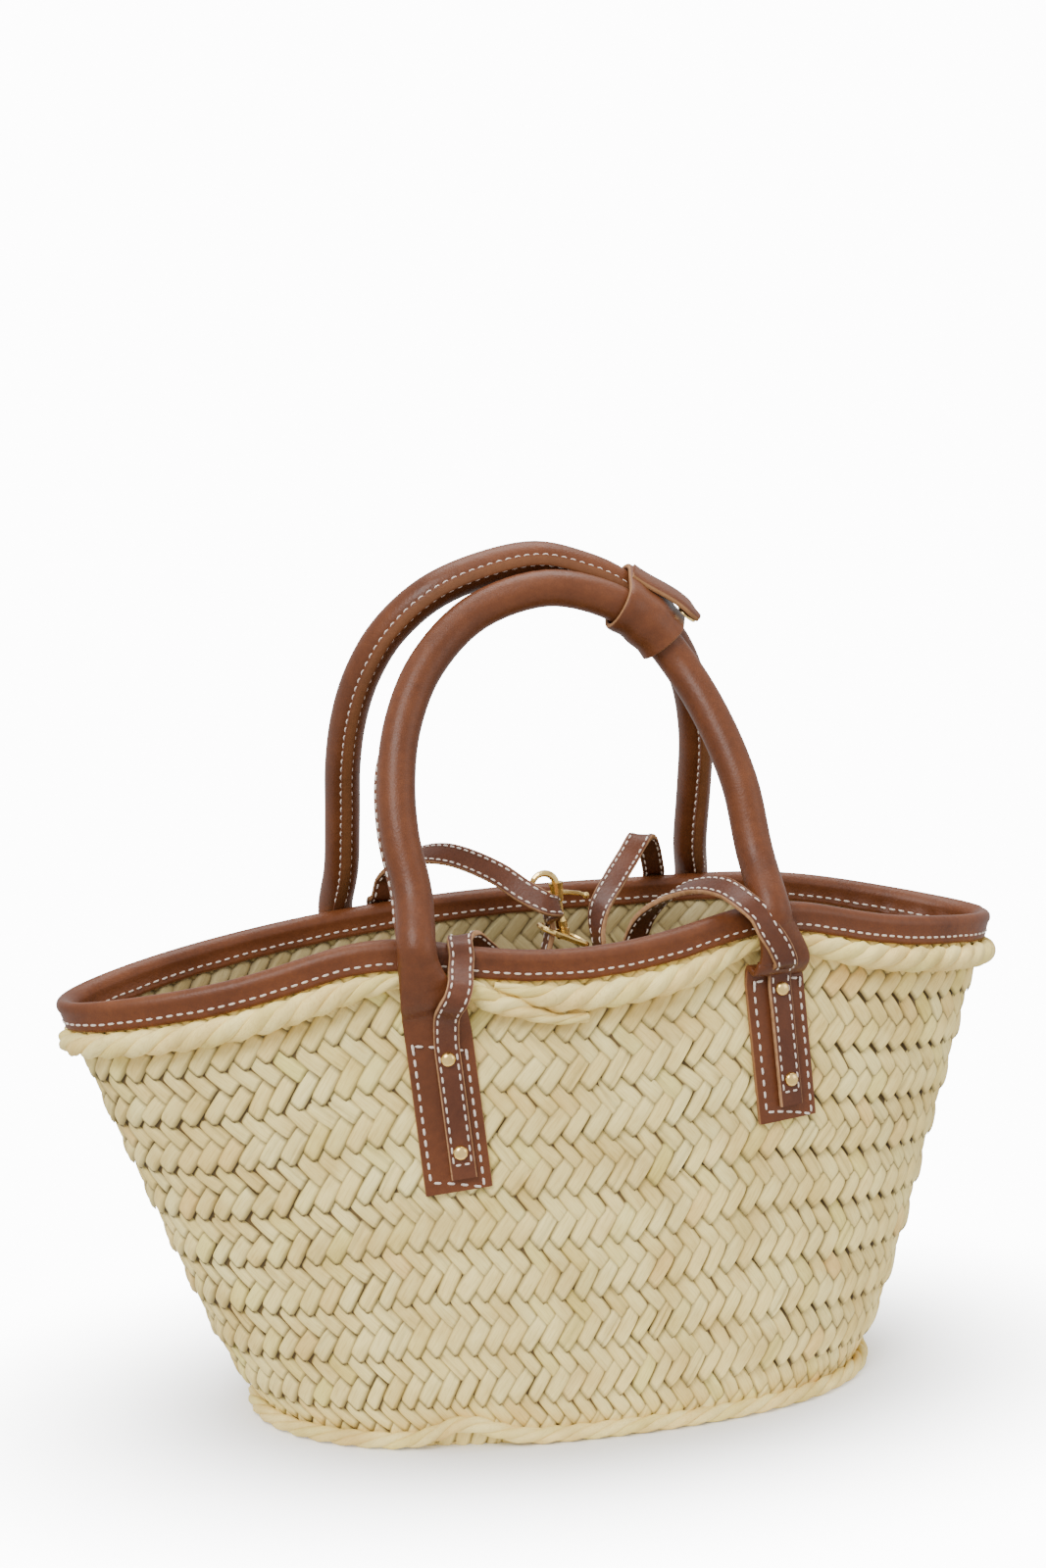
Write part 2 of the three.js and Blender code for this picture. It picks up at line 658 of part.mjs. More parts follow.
// Free stretches: a share of the way between two named places, offsets as shares of the slack,
// and the direction of the strap's width
const LEFT_FRONT_FALL = [
  { way: 0.1, x: 0, y: 0.05, z: -0.03, wide: [0.95, 0.1, 0.3] },
  { way: 0.25, x: 0, y: 0, z: -0.25, wide: [0.8, 0.15, 0.6] },
  { way: 0.5, x: 0, y: 0.25, z: -0.68, wide: [0.5, 0.3, 0.8] },
  { way: 0.75, x: -0.07, y: 0.2, z: -0.94, wide: [0.25, 0.7, 0.6] },
  { way: 0.92, x: -0.02, y: 0.1, z: -0.6, wide: [0.1, 1, 0.1] },
  { way: 1, x: 0, y: 0, z: 0, wide: [0, 1, 0] },
];
const LEFT_BACK_CLIMB = [
  { way: 0.03, x: 0.05, y: -0.08, z: 0.25, wide: [0, 1, 0.1] },
  { way: 0.08, x: 0.2, y: -0.75, z: 0.5, wide: [0.1, 0.9, 0.4] },
  { way: 0.14, x: 0.3, y: -1.05, z: 0.7, wide: [0.4, 0.5, 0.7] },
  { way: 0.25, x: 0.24, y: -1.05, z: 0.84, wide: [0.55, 0.25, 0.75] },
  { way: 0.4, x: 0.17, y: -0.9, z: 1.02, wide: [0.5, 0.25, 0.8] },
  { way: 0.62, x: -0.05, y: -0.4, z: 1.12, wide: [0.5, 0.3, 0.8] },
  { way: 0.82, x: -0.12, y: 0, z: 0.8, wide: [0.8, 0.1, 0.5] },
  { way: 0.95, x: -0.05, y: 0.02, z: 0.36, wide: [0.95, 0, 0.2] },
];
const RIGHT_FRONT_FALL = [
  { way: 0.08, x: 0, y: 0.02, z: 0.38, wide: [1, 0, 0] },
  { way: 0.2, x: 0, y: 0.3, z: 0.65, wide: [1, 0.3, 0.05] },
  { way: 0.4, x: 0, y: 0.4, z: 1.15, wide: [1, 0.5, 0.1] },
  { way: 0.6, x: -0.13, y: 0.4, z: 1.2, wide: [1, 0.3, 0.3] },
  { way: 0.8, x: -0.05, y: 0.23, z: 0.92, wide: [1, 0, 0.1] },
  { way: 0.93, x: 0.08, y: 0.03, z: 0.45, wide: [0.8, -0.5, 0.1] },
  { way: 1, x: 0, y: 0, z: 0, wide: [0.3, -1, 0] },
];
const RIGHT_BACK_CLIMB = [
  { way: 0.05, x: -0.3, y: 0, z: 0.5, wide: [0.2, -1, 0] },
  { way: 0.12, x: -0.5, y: -0.1, z: 0.9, wide: [0.2, -1, 0] },
  { way: 0.25, x: -0.6, y: -0.2, z: 1.1, wide: [0.5, -0.8, -0.2] },
  { way: 0.45, x: -0.5, y: -0.25, z: 1.15, wide: [0.8, -0.4, -0.4] },
  { way: 0.7, x: -0.43, y: -0.4, z: 1.05, wide: [0.9, -0.2, -0.3] },
  { way: 0.86, x: -0.32, y: -0.45, z: 1.05, wide: [1, 0, -0.1] },
  { way: 0.94, x: -0.18, y: -0.3, z: 0.75, wide: [1, 0, 0] },
];

function strapFree(rows, from, to) {
  return rows.map((row) => ({
    centre: from.clone().lerp(to, row.way).add(vec(row.x, row.y, row.z).multiplyScalar(STRAP_SLACK)),
    across: vec(...row.wide).normalize(),
  }));
}

// A whole strap from its front tab through the low place in the middle to its back tab
function strapStations(frontTab, backTab, middle, fall, climb) {
  const front = strapClimb(frontTab);
  const back = strapClimb(backTab);
  const frontTop = front[front.length - 1].centre;
  const backTop = back[back.length - 1].centre;
  return [
    ...front,
    ...strapFree(fall, frontTop, middle),
    ...strapFree(climb, middle, backTop),
    ...back.toReversed(),
  ];
}

function strap(stations) {
  const curve = new THREE.CatmullRomCurve3(stations.map((s) => s.centre), false, "centripetal");
  const last = stations.length - 1;
  const steps = last * 2;
  const rings = range(steps + 1).map((i) => {
    const t = i / steps;
    const place = Math.min(Math.floor(t * last), last - 1);
    const share = t * last - place;
    const along = curve.getTangent(t);
    const across = stations[place].across.clone().lerp(stations[place + 1].across, share);
    across.addScaledVector(along, -across.dot(along)).normalize();
    const through = vec(0, 0, 0).crossVectors(along, across);
    return stripSection(curve.getPoint(t), across, through, STRAP_WIDTH, STRAP_LEATHER);
  });
  return loft(rings, false);
}

// A dome of a rivet on the strap, at a share of its tab's length
function rivet(tab, along) {
  const radius = RIVET_DIAMETER / 2;
  const profile = [
    [0, 0],
    [radius, 0],
    [radius * 0.93, RIVET_HEIGHT * 0.45],
    [radius * 0.6, RIVET_HEIGHT * 0.87],
    [0, RIVET_HEIGHT],
  ];
  const dome = new THREE.LatheGeometry(profile.map(([x, y]) => new THREE.Vector2(x, y)), 12);
  const place = { tab: along };
  const x = legX(tab, place) + tab.strap;
  const frame = wallFrame(x, legDrop(tab, place), STRAP_FACE + CLEARANCE, tab.face);
  dome.applyQuaternion(new THREE.Quaternion().setFromUnitVectors(vec(0, 1, 0), frame.through));
  return dome.translate(frame.point.x, frame.point.y, frame.point.z);
}

// The clasp is modelled about its swivel's axis, with its foot at the origin, and then set in place
const CLASP_PLACE = new THREE.Matrix4()
  .makeTranslation(CLASP_X, CLASP_Y, CLASP_Z)
  .multiply(new THREE.Matrix4().makeRotationY(-radians(CLASP_LEAN)));

function lathe(profile, sides) {
  const turned = new THREE.LatheGeometry(profile.map(([r, z]) => new THREE.Vector2(r, z)), sides);
  return turned.rotateX(Math.PI / 2);
}

function wireLoop(curvePoint, radius, steps, sides) {
  const rings = range(steps).map((i) => {
    const at = curvePoint(i / steps);
    const along = curvePoint(((i + 1) % steps) / steps).sub(curvePoint(((i + steps - 1) % steps) / steps));
    const across = vec(0, 0, 0).crossVectors(along.normalize(), vec(0, 0, 1)).normalize();
    return section(at, across, vec(0, 0, 1), radius, radius, 1, sides);
  });
  return loft(rings, true);
}

// The eye: the ring that the left strap passes through, its collar and the swivel's post
function claspEye() {
  const halfLength = (RING_LENGTH - RING_WIRE) / 2;
  const halfDepth = (RING_DEPTH - RING_WIRE) / 2;
  const ringPoint = (t) => {
    const turn = t * 2 * Math.PI;
    const c = Math.cos(turn);
    const s = Math.sin(turn);
    return vec(halfLength * Math.sign(c) * Math.abs(c) ** 0.7, halfDepth * Math.sign(s) * Math.abs(s) ** 0.7, 0);
  };
  const ring = wireLoop(ringPoint, RING_WIRE / 2, 28, 8).rotateY(radians(RING_TILT));
  const bar = new THREE.CylinderGeometry(RING_WIRE / 2, RING_WIRE / 2, 2 * halfDepth, 10);
  const collar = lathe(
    [
      [0, -RING_WIRE / 2],
      [COLLAR_DIAMETER / 2, -RING_WIRE / 2],
      [COLLAR_DIAMETER / 2, COLLAR_HEIGHT],
      [POST_DIAMETER / 2, COLLAR_HEIGHT],
      [POST_DIAMETER / 2, COLLAR_HEIGHT + POST_LENGTH],
      [0, COLLAR_HEIGHT + POST_LENGTH],
    ],
    16,
  );
  const joined = solid(ring).add(solid(bar)).add(solid(collar));
  return geometryOf(joined).applyMatrix4(CLASP_PLACE);
}

// The hook: a column with a bore for the post, a slotted body with the lever's pin, and the hook's arc
function claspHook() {
  const bottom = COLLAR_HEIGHT + CLEARANCE;
  const bore = POST_DIAMETER / 2 + CLEARANCE;
  const boreTop = COLLAR_HEIGHT + POST_LENGTH + CLEARANCE;
  const radius = COLUMN_DIAMETER / 2;
  const column = lathe(
    [
      [0, boreTop],
      [bore, boreTop],
      [bore, bottom],
      [radius, bottom],
      [radius, boreTop - WAIST_HEIGHT],
      [WAIST_DIAMETER / 2, boreTop + CLEARANCE],
      [WAIST_DIAMETER / 2, PIVOT_HEIGHT - HOOK_BODY / 2],
      [0, PIVOT_HEIGHT - HOOK_BODY / 2],
    ],
    16,
  );
  const bodyHeight = HOOK_BODY * 1.3;
  const body = new THREE.CylinderGeometry(HOOK_BODY / 2, HOOK_BODY * HOOK_TAPER, bodyHeight, 12);
  body.rotateX(Math.PI / 2).translate(0, 0, PIVOT_HEIGHT);
  const slot = new THREE.BoxGeometry(2 * HOOK_BODY, LEVER_THICKNESS + 2 * CLEARANCE, SLOT_HEIGHT);
  slot.translate(0, 0, PIVOT_HEIGHT);
  const pin = new THREE.CylinderGeometry(PIN_DIAMETER / 2, PIN_DIAMETER / 2, HOOK_BODY * 0.8, 10);
  pin.translate(0, 0, PIVOT_HEIGHT);
  const wire = HOOK_WIRE / 2;
  const topZ = PIVOT_HEIGHT + bodyHeight / 2;
  const arc = range(15).map((i) => {
    const turn = radians(mix(HOOK_START, HOOK_END, i / 14));
    const x = -HOOK_RADIUS + HOOK_RADIUS * Math.cos(turn);
    return vec(x, 0, topZ - CLEARANCE + HOOK_RADIUS * Math.sin(turn));
  });
  const rings = arc.map((at, i) => {
    const along = arc[Math.min(i + 1, 14)].clone().sub(arc[Math.max(i - 1, 0)]).normalize();
    const across = vec(0, 1, 0);
    const thickness = wire * mix(1.15, 0.8, i / 14);
    return section(at, across, vec(0, 0, 0).crossVectors(along, across), thickness, thickness, 1, 10);
  });
  const hook = solid(column).add(solid(body)).subtract(solid(slot)).add(solid(pin)).add(solid(loft(rings, false)));
  return geometryOf(hook).applyMatrix4(CLASP_PLACE);
}

// The lever: a gate that closes the hook, a boss on the pin and a thumb piece with a small knob
function claspLever() {
  const gateLength = 2 * (HOOK_RADIUS - CLEARANCE);
  const drop = LEVER_DROP;
  const rows = [
    { x: -gateLength, z: -0.05 * drop, half: 0.6 },
    { x: -gateLength * 0.5, z: 0.03 * drop, half: 0.75 },
    { x: 0, z: 0, half: 0.9 },
    { x: THUMB_LENGTH * 0.4, z: -0.28 * drop, half: 0.85 },
    { x: THUMB_LENGTH * 0.8, z: -0.63 * drop, half: 0.8 },
    { x: THUMB_LENGTH, z: -drop, half: 0.8 },
  ];
  const bar = loft(
    rows.map((row) =>
      section(
        vec(row.x, 0, PIVOT_HEIGHT + row.z),
        vec(0, 1, 0),
        vec(0, 0, 1),
        LEVER_THICKNESS / 2,
        row.half,
        0.8,
        8,
      ),
    ),
    false,
  );
  const knob = new THREE.SphereGeometry(LEVER_THICKNESS * 0.8, 10, 6);
  knob.translate(THUMB_LENGTH, 0, PIVOT_HEIGHT - drop);
  const boss = new THREE.CylinderGeometry(BOSS_RADIUS, BOSS_RADIUS, LEVER_THICKNESS, 14).translate(0, 0, PIVOT_HEIGHT);
  const hole = PIN_DIAMETER / 2 + CLEARANCE;
  const bore = new THREE.CylinderGeometry(hole, hole, 3 * LEVER_THICKNESS, 12).translate(0, 0, PIVOT_HEIGHT);
  const lever = solid(bar).add(solid(boss)).add(solid(knob)).subtract(solid(bore));
  return geometryOf(lever).applyMatrix4(CLASP_PLACE);
}

// Colours and finishes
const straw = new THREE.MeshStandardMaterial({ color: 0xd0c294, roughness: 0.85, metalness: 0 });
const palm = new THREE.MeshStandardMaterial({ color: 0xd6c99c, roughness: 0.8, metalness: 0 });
const leather = new THREE.MeshStandardMaterial({ color: 0x8c5a41, roughness: 0.5, metalness: 0 });
const brass = new THREE.MeshStandardMaterial({ color: 0xe6c86e, roughness: 0.2, metalness: 1 });

const bag = new THREE.Group();

function add(name, geometry, material) {
  const mesh = new THREE.Mesh(geometry, material);
  mesh.name = name;
  bag.add(mesh);
}

// The left strap's middle is in the ring, left of the collar; the right strap hangs into the basket
const ringWindow = vec(-(RING_LENGTH / 2 - RING_WIRE + COLLAR_DIAMETER / 2) / 2, 0, 0)
  .applyAxisAngle(vec(0, 1, 0), radians(RING_TILT))
  .applyMatrix4(CLASP_PLACE);
const rightLowPlace = vec(CLASP_X + 20, CLASP_Y - 3, CLASP_Z - 24);

add("basket_body", basketBody(), straw);
add("rim_cord", rimCord(), palm);
add("base_cord", baseCord(), palm);
add("rim_binding", rimBinding(), leather);
add("handle_front", handle(FRONT_HANDLE), leather);
add("handle_back", handle(BACK_HANDLE), leather);
add(
  "closure_strap_left",
  strap(
    strapStations(
      TABS.frontLeft,
      TABS.backLeft,
      ringWindow,
      LEFT_FRONT_FALL,
      LEFT_BACK_CLIMB,
    ),
  ),
  leather,
);
add(
  "closure_strap_right",
  strap(
    strapStations(
      TABS.frontRight,
      TABS.backRight,
      rightLowPlace,
      RIGHT_FRONT_FALL,
      RIGHT_BACK_CLIMB,
    ),
  ),
  leather,
);
add("handle_keeper", handleKeeper(), leather);
add("keeper_stud", keeperStud(), brass);
for (const [name, tab] of Object.entries(TABS)) {
  const place = name.replace(/[A-Z]/, (letter) => "_" + letter.toLowerCase());
  add("rivet_" + place + "_upper", rivet(tab, RIVET_UPPER), brass);
  add("rivet_" + place + "_lower", rivet(tab, RIVET_LOWER), brass);
}
add("clasp_eye", claspEye(), brass);
add("clasp_hook", claspHook(), brass);
add("clasp_lever", claspLever(), brass);

export default bag;
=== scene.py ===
# A straw basket bag with rolled leather handles, standing on a pale floor.
# Sizes are in millimetres in the same frame as the solids, and turn into metres when a mesh is made.
import math

import bpy
import numpy as np
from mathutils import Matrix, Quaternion, Vector


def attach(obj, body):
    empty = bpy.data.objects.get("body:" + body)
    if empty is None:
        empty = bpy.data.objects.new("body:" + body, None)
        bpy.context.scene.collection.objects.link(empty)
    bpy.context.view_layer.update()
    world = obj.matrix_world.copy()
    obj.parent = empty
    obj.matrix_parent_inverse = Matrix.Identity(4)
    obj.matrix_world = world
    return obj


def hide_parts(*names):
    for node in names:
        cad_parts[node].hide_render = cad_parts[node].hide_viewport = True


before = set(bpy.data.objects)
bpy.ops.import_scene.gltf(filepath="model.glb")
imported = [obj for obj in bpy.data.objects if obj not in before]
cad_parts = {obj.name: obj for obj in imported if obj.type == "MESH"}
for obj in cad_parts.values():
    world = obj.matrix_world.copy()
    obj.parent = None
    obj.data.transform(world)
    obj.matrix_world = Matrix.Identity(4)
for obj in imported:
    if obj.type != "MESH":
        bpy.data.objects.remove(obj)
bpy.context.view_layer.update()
rng = np.random.default_rng(7)

# The basket
RIM_HALF_LENGTH = 172
RIM_HALF_DEPTH = 53.5
RIM_HEIGHT = 169
BASE_HALF_LENGTH = 113.5
BASE_HALF_DEPTH = 56.5
BASE_ROUNDING = 6
BASE_ROUNDING_HEIGHT = 13.5
BASE_SQUARENESS = 0.38
END_TUCK = 1.4
SIDE_TUCK = 0.8
WALL = 2.8
FLOOR = 3
TIP_DROOP = 14.5
HANDLE_PULL = 7.5
FRONT_SAG = 3.5
BACK_LIFT = 3.4
RIM_TILT = 0.039
LEAN_BACK = 0.088
LEAN_LEFT = 0.02
CLEARANCE = 0.3
LEATHER_EASE = 0.2

# The ropes
RIM_CORD_DIAMETER = 9.4
BASE_CORD_DIAMETER = 5.6
CORD_SEAT = 0.6
CORD_OVERLAP_START = -34
CORD_OVERLAP_LENGTH = 21
CORD_TAIL_LENGTH = 9
CORD_DIP_TURN = 0.04
CORD_TIP_SHARE = 0.3
CORD_TAIL_SHARE = 0.4
CORD_SQUEEZE = 0.5
CORD_SQUEEZE_WIDTH = 19
TIP_SQUEEZE = 0.14
TIP_TUCK = 2.2
BASE_HUMP_X = -48
BASE_HUMP_WIDTH = 12.5
BASE_HUMP_HEIGHT = 6
ROPE_STRANDS = 3
RIM_ROPE_LAY = 28
BASE_ROPE_LAY = 27
STRAND_RADIUS = 0.57
STRAND_OFFSET = 0.43

# The leather
BINDING_DEPTH = 10
BINDING_LEATHER = 1.8
HANDLE_DIAMETER = 13
FRONT_HANDLE_HALF_SPAN = 62
FRONT_HANDLE_RISE = 115
BACK_HANDLE_HALF_SPAN = 68
BACK_HANDLE_RISE = 125
HANDLES_MEET_Y = 11.5
HANDLES_MEET_X = 31
HANDLE_SPACING = 12
TAB_WIDTH = 22.5
TAB_LENGTH = 52
TAB_LEATHER = 2.4
SEAM_REACH = 4.4
FRONT_SEAM_REACH = 2.4
SEAM_THICKNESS = 3.6
SEAM_ROOT = 1.2
KEEPER_LENGTH = 23
KEEPER_LEATHER = 1.8
KEEPER_SLACK = 0.8
SHOULDER_SLOPE = 0.72
KEEPER_FLAP_LENGTH = 29.5
KEEPER_FLAP_WIDTH = 11.5
FLAP_ROOT = 1.2
FLAP_LIFT = 2.6
FLAP_TIP = 0.45
STUD_DIAMETER = 8
STUD_HEIGHT = 1.6
STRAP_WIDTH = 8.5
STRAP_LEATHER = 2
STRAP_SLACK = 20
STRAP_EASE = 1
STRAP_BEVEL = 0.45
STITCH_INSET = 1.3

# The stitches: the pitch of each kind, and the tabs' stitched rectangle as shares of width and length
SEAM_PITCH = 3.4
BINDING_PITCH = 3.6
BINDING_STITCH_DROP = 7.5
TAB_PITCH = 4.0
TACK_PITCH = 2.6
FOOT_PITCH = 2.8
TAB_STITCH_SIDE = 0.385
TAB_STITCH_LOW = 0.05
TAB_STITCH_HIGH = 0.93
TACK_LOW = 0.895
TACK_HIGH = 0.945

# The brass
RIVET_DIAMETER = 5.0
RIVET_HEIGHT = 1.6
RIVET_UPPER = 0.87
RIVET_LOWER = 0.27
CLASP_X = 4.2
CLASP_Y = 15
CLASP_BELOW_RIM = 9.5
CLASP_Z = RIM_HEIGHT - CLASP_BELOW_RIM
CLASP_LEAN = 8
RING_LENGTH = 20
RING_DEPTH = 17
RING_WIRE = 2
RING_TILT = 31
COLLAR_DIAMETER = 5

# The weave
LEAVES_ROUND = 94
LEAF_ROWS = 19
BOTTOM_COLUMNS = 33
BOTTOM_ROWS = 14
BOTTOM_PITCH = 9.4
LEAF_LENGTH = 1.2
LEAF_WIDTH = 1.1
LEAF_TILT = 0.34
SPLIT_CHANCE = 0.14
ROW_LAP = 0.75
LEAF_RISE = 0.8
LEAF_SINK = 0.6

# The light round the bag, and the backdrop as the camera sees it
AMBIENT = 1.0
BACKDROP = 13.0

# The floor turns from a lit surface into the backdrop between these distances
FLOOR_NEAR = 0.055
FLOOR_FAR = 0.17

# The camera
CAMERA_PLACE = (-0.19565, -0.72856, 0.31319)
CAMERA_TARGET = (-0.014, 0, 0.217)
CAMERA_ROLL = math.radians(-0.5)
CAMERA_LENS = 49.7
CAMERA_SENSOR = 36

BINDING_FACE = CLEARANCE + BINDING_LEATHER
TAB_SEAT = CLEARANCE + LEATHER_EASE
STRAP_SEAT = TAB_SEAT + TAB_LEATHER + CLEARANCE
STRAP_FACE = STRAP_SEAT + STRAP_LEATHER + LEATHER_EASE
LEG_FACE = CLEARANCE + CORD_SEAT + RIM_CORD_DIAMETER * CORD_SQUEEZE
BEAD_RADIUS = (WALL + 2 * BINDING_FACE) / 2
WALL_TOP = BEAD_RADIUS + CLEARANCE
CORD_DROP = BINDING_DEPTH + CLEARANCE + RIM_CORD_DIAMETER / 2


# Small helpers
def mix(a, b, share):
    return a + (b - a) * share


def smooth(x, low, high):
    t = np.clip((x - low) / (high - low), 0, 1)
    return t * t * (3 - 2 * t)


def bell(distance):
    return np.exp(-np.square(distance))


def unit(v):
    v = np.asarray(v, float)
    return v / np.maximum(np.linalg.norm(v, axis=-1, keepdims=True), 1e-12)


def path_lengths(points):
    steps = np.linalg.norm(np.diff(points, axis=0), axis=1)
    return np.concatenate([[0], np.cumsum(steps)])


# Arrays side by side in a last axis, each spread over the shape of them all
def together(*values):
    return np.stack(np.broadcast_arrays(*values), -1)


# The rim's waves: on the front or the back, the sine of the angle, the width and the height
RIM_WAVES = [
    (True, -0.42, 0.2, HANDLE_PULL),
    (True, 0.42, 0.2, HANDLE_PULL),
    (True, 0.0, 0.25, -FRONT_SAG),
    (False, 0.62, 0.26, BACK_LIFT),
]


# The basket's skin: angle 0 is the middle of the front, a quarter turn the right tip
def rim_height(angle):
    side = np.sin(angle)
    front = np.cos(angle) > 0
    height = RIM_HEIGHT - TIP_DROOP * side * side + RIM_TILT * side * RIM_HALF_LENGTH
    for on_front, middle, width, rise in RIM_WAVES:
        height = height + rise * bell((side - middle) / width) * (front == on_front)
    return height


def skin_at(angle, share, out):
    tuck = BASE_ROUNDING * np.exp(-share * RIM_HEIGHT / BASE_ROUNDING_HEIGHT)
    half_length = mix(BASE_HALF_LENGTH, RIM_HALF_LENGTH, share) - END_TUCK * tuck + out
    half_depth = mix(BASE_HALF_DEPTH, RIM_HALF_DEPTH, share) - SIDE_TUCK * tuck + out
    squareness = mix(BASE_SQUARENESS, 0, share)
    side = np.sin(angle)
    z = share * rim_height(angle)
    x = half_length * side - LEAN_LEFT * z
    y = -half_depth * np.cos(angle) * np.sqrt(1 + squareness * side * side) + LEAN_BACK * z
    return np.stack(np.broadcast_arrays(x, y, z), -1)


def skin(angle, drop, out):
    return skin_at(angle, 1 - drop / rim_height(angle), out)


def angle_at(x, drop, face):
    angle = 0.0
    for step in range(12):
        turned = angle if face > 0 else math.pi - angle
        miss = x - skin(turned, drop, 0)[0]
        angle += miss / (RIM_HALF_LENGTH * (1 + 0.02 * step))
    return angle if face > 0 else math.pi - angle


# A curve through points, smoothed the way the solids are
class Curve:
    def __init__(self, points):
        self.points = [np.asarray(p, float) for p in points]

    def point(self, t):
        points = self.points
        count = len(points)
        p = (count - 1) * min(max(t, 0), 1)
        i = int(math.floor(p))
        w = p - i
        if w == 0 and i == count - 1:
            i, w = count - 2, 1.0
        p1, p2 = points[i], points[i + 1]
        p0 = points[i - 1] if i > 0 else 2 * points[0] - points[1]
        p3 = points[i + 2] if i + 2 < count else 2 * points[-1] - points[-2]
        d0, d1, d2 = (float(np.sum((b - a) ** 2)) ** 0.25 for a, b in ((p0, p1), (p1, p2), (p2, p3)))
        d1 = d1 if d1 > 1e-4 else 1.0
        d0 = d0 if d0 > 1e-4 else d1
        d2 = d2 if d2 > 1e-4 else d1
        t1 = ((p1 - p0) / d0 - (p2 - p0) / (d0 + d1) + (p2 - p1) / d1) * d1
        t2 = ((p2 - p1) / d1 - (p3 - p1) / (d1 + d2) + (p3 - p2) / d2) * d1
        c2 = -3 * p1 + 3 * p2 - 2 * t1 - t2
        c3 = 2 * p1 - 2 * p2 + t1 + t2
        return p1 + t1 * w + c2 * w * w + c3 * w**3

    def tangent(self, t):
        return unit(self.point(min(t + 1e-4, 1)) - self.point(max(t - 1e-4, 0)))


# Meshes from grids of points. A batch holds many grids of the same size, each point with a place on
# the texture and up to three tints
class Build:
    def __init__(self):
        self.points, self.faces, self.places, self.tints = [], [], [], []
        self.count = 0

    def grids(self, points, places=None, tints=(0.5, 0.5, 0.0), loop_u=False, loop_v=False, flip=False):
        points = np.asarray(points, float)
        if points.ndim == 3:
            points = points[None]
        batch, n, m = points.shape[:3]
        if places is None:
            u, v = np.meshgrid(np.linspace(0, 1, n), np.linspace(0, 1, m), indexing="ij")
            places = np.stack([u, v], -1)
        places = np.broadcast_to(places, (batch, n, m, 2))
        tints = np.broadcast_to(tints, (batch, n, m, 3))
        i = np.arange(n if loop_u else n - 1)
        j = np.arange(m if loop_v else m - 1)
        a, b = np.meshgrid(i, j, indexing="ij")
        c, d = (a + 1) % n, (b + 1) % m
        quad = np.stack([a * m + b, c * m + b, c * m + d, a * m + d], -1).reshape(-1, 4)
        if flip:
            quad = quad[:, ::-1]
        offset = self.count + np.arange(batch)[:, None, None] * n * m
        self.faces.append((quad[None] + offset).reshape(-1, 4))
        self.points.append(points.reshape(-1, 3))
        self.places.append(places.reshape(-1, 2))
        self.tints.append(tints.reshape(-1, 3))
        self.count += batch * n * m
        return self

    # A closed tube through rings of points, each end shut by a fan drawn to its middle
    def tube(self, rings, places=None, tints=(0.5, 0.5, 0.0)):
        rings = np.asarray(rings, float)
        first = np.repeat(rings[:1].mean(1, keepdims=True), rings.shape[1], 1)
        last = np.repeat(rings[-1:].mean(1, keepdims=True), rings.shape[1], 1)
        if places is not None:
            places = np.concatenate([places[:1], places, places[-1:]])
        tints = np.asarray(tints, float)
        if tints.ndim == 3:
            tints = np.concatenate([tints[:1], tints, tints[-1:]])
        return self.grids(np.concatenate([first, rings, last]), places, tints, loop_v=True)

    def object(self, name, material, body="bag", angle=60):
        points = np.concatenate(self.points) * 0.001
        faces = np.concatenate(self.faces)
        places = np.concatenate(self.places)
        tints = np.concatenate(self.tints)
        mesh = bpy.data.meshes.new(name)
        mesh.vertices.add(len(points))
        mesh.vertices.foreach_set("co", points.ravel())
        mesh.loops.add(len(faces) * 4)
        mesh.loops.foreach_set("vertex_index", faces.ravel())
        mesh.polygons.add(len(faces))
        mesh.polygons.foreach_set("loop_start", np.arange(len(faces)) * 4)
        mesh.polygons.foreach_set("use_smooth", np.ones(len(faces), bool))
        mesh.update(calc_edges=True)
        layer = mesh.uv_layers.new(name="place")
        layer.data.foreach_set("uv", places[faces.ravel()].ravel())
        # The third tint, edge, marks raw leather edges, and painted shade on the straw's leaves and rope strands
        for index, key in enumerate(("tone", "tint", "edge")):
            attribute = mesh.attributes.new(key, "FLOAT", "POINT")
            attribute.data.foreach_set("value", tints[:, index].astype(np.float32))
        mesh.validate()
        if angle < 180:
            mesh.set_sharp_from_angle(angle=math.radians(angle))
        mesh.materials.append(material)
        made = bpy.data.objects.new(name, mesh)
        bpy.context.scene.collection.objects.link(made)
        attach(made, body)
        return made


def ring_points(centre, across, through, half_width, half_thickness, corner, sides):
    turn = (np.arange(sides) + 0.5) / sides * 2 * math.pi
    c, s = np.cos(turn), np.sin(turn)
    u = half_width * np.sign(c) * np.abs(c) ** corner
    v = half_thickness * np.sign(s) * np.abs(s) ** corner
    return centre + u[:, None] * across + v[:, None] * through


def linear(red, green, blue):
    def turned(c):
        return ((c / 255 + 0.055) / 1.055) ** 2.4 if c > 10 else c / 255 / 12.92

    return turned(red), turned(green), turned(blue), 1.0


def grey(level):
    return level, level, level, 1


WHITE = linear(255, 255, 255)


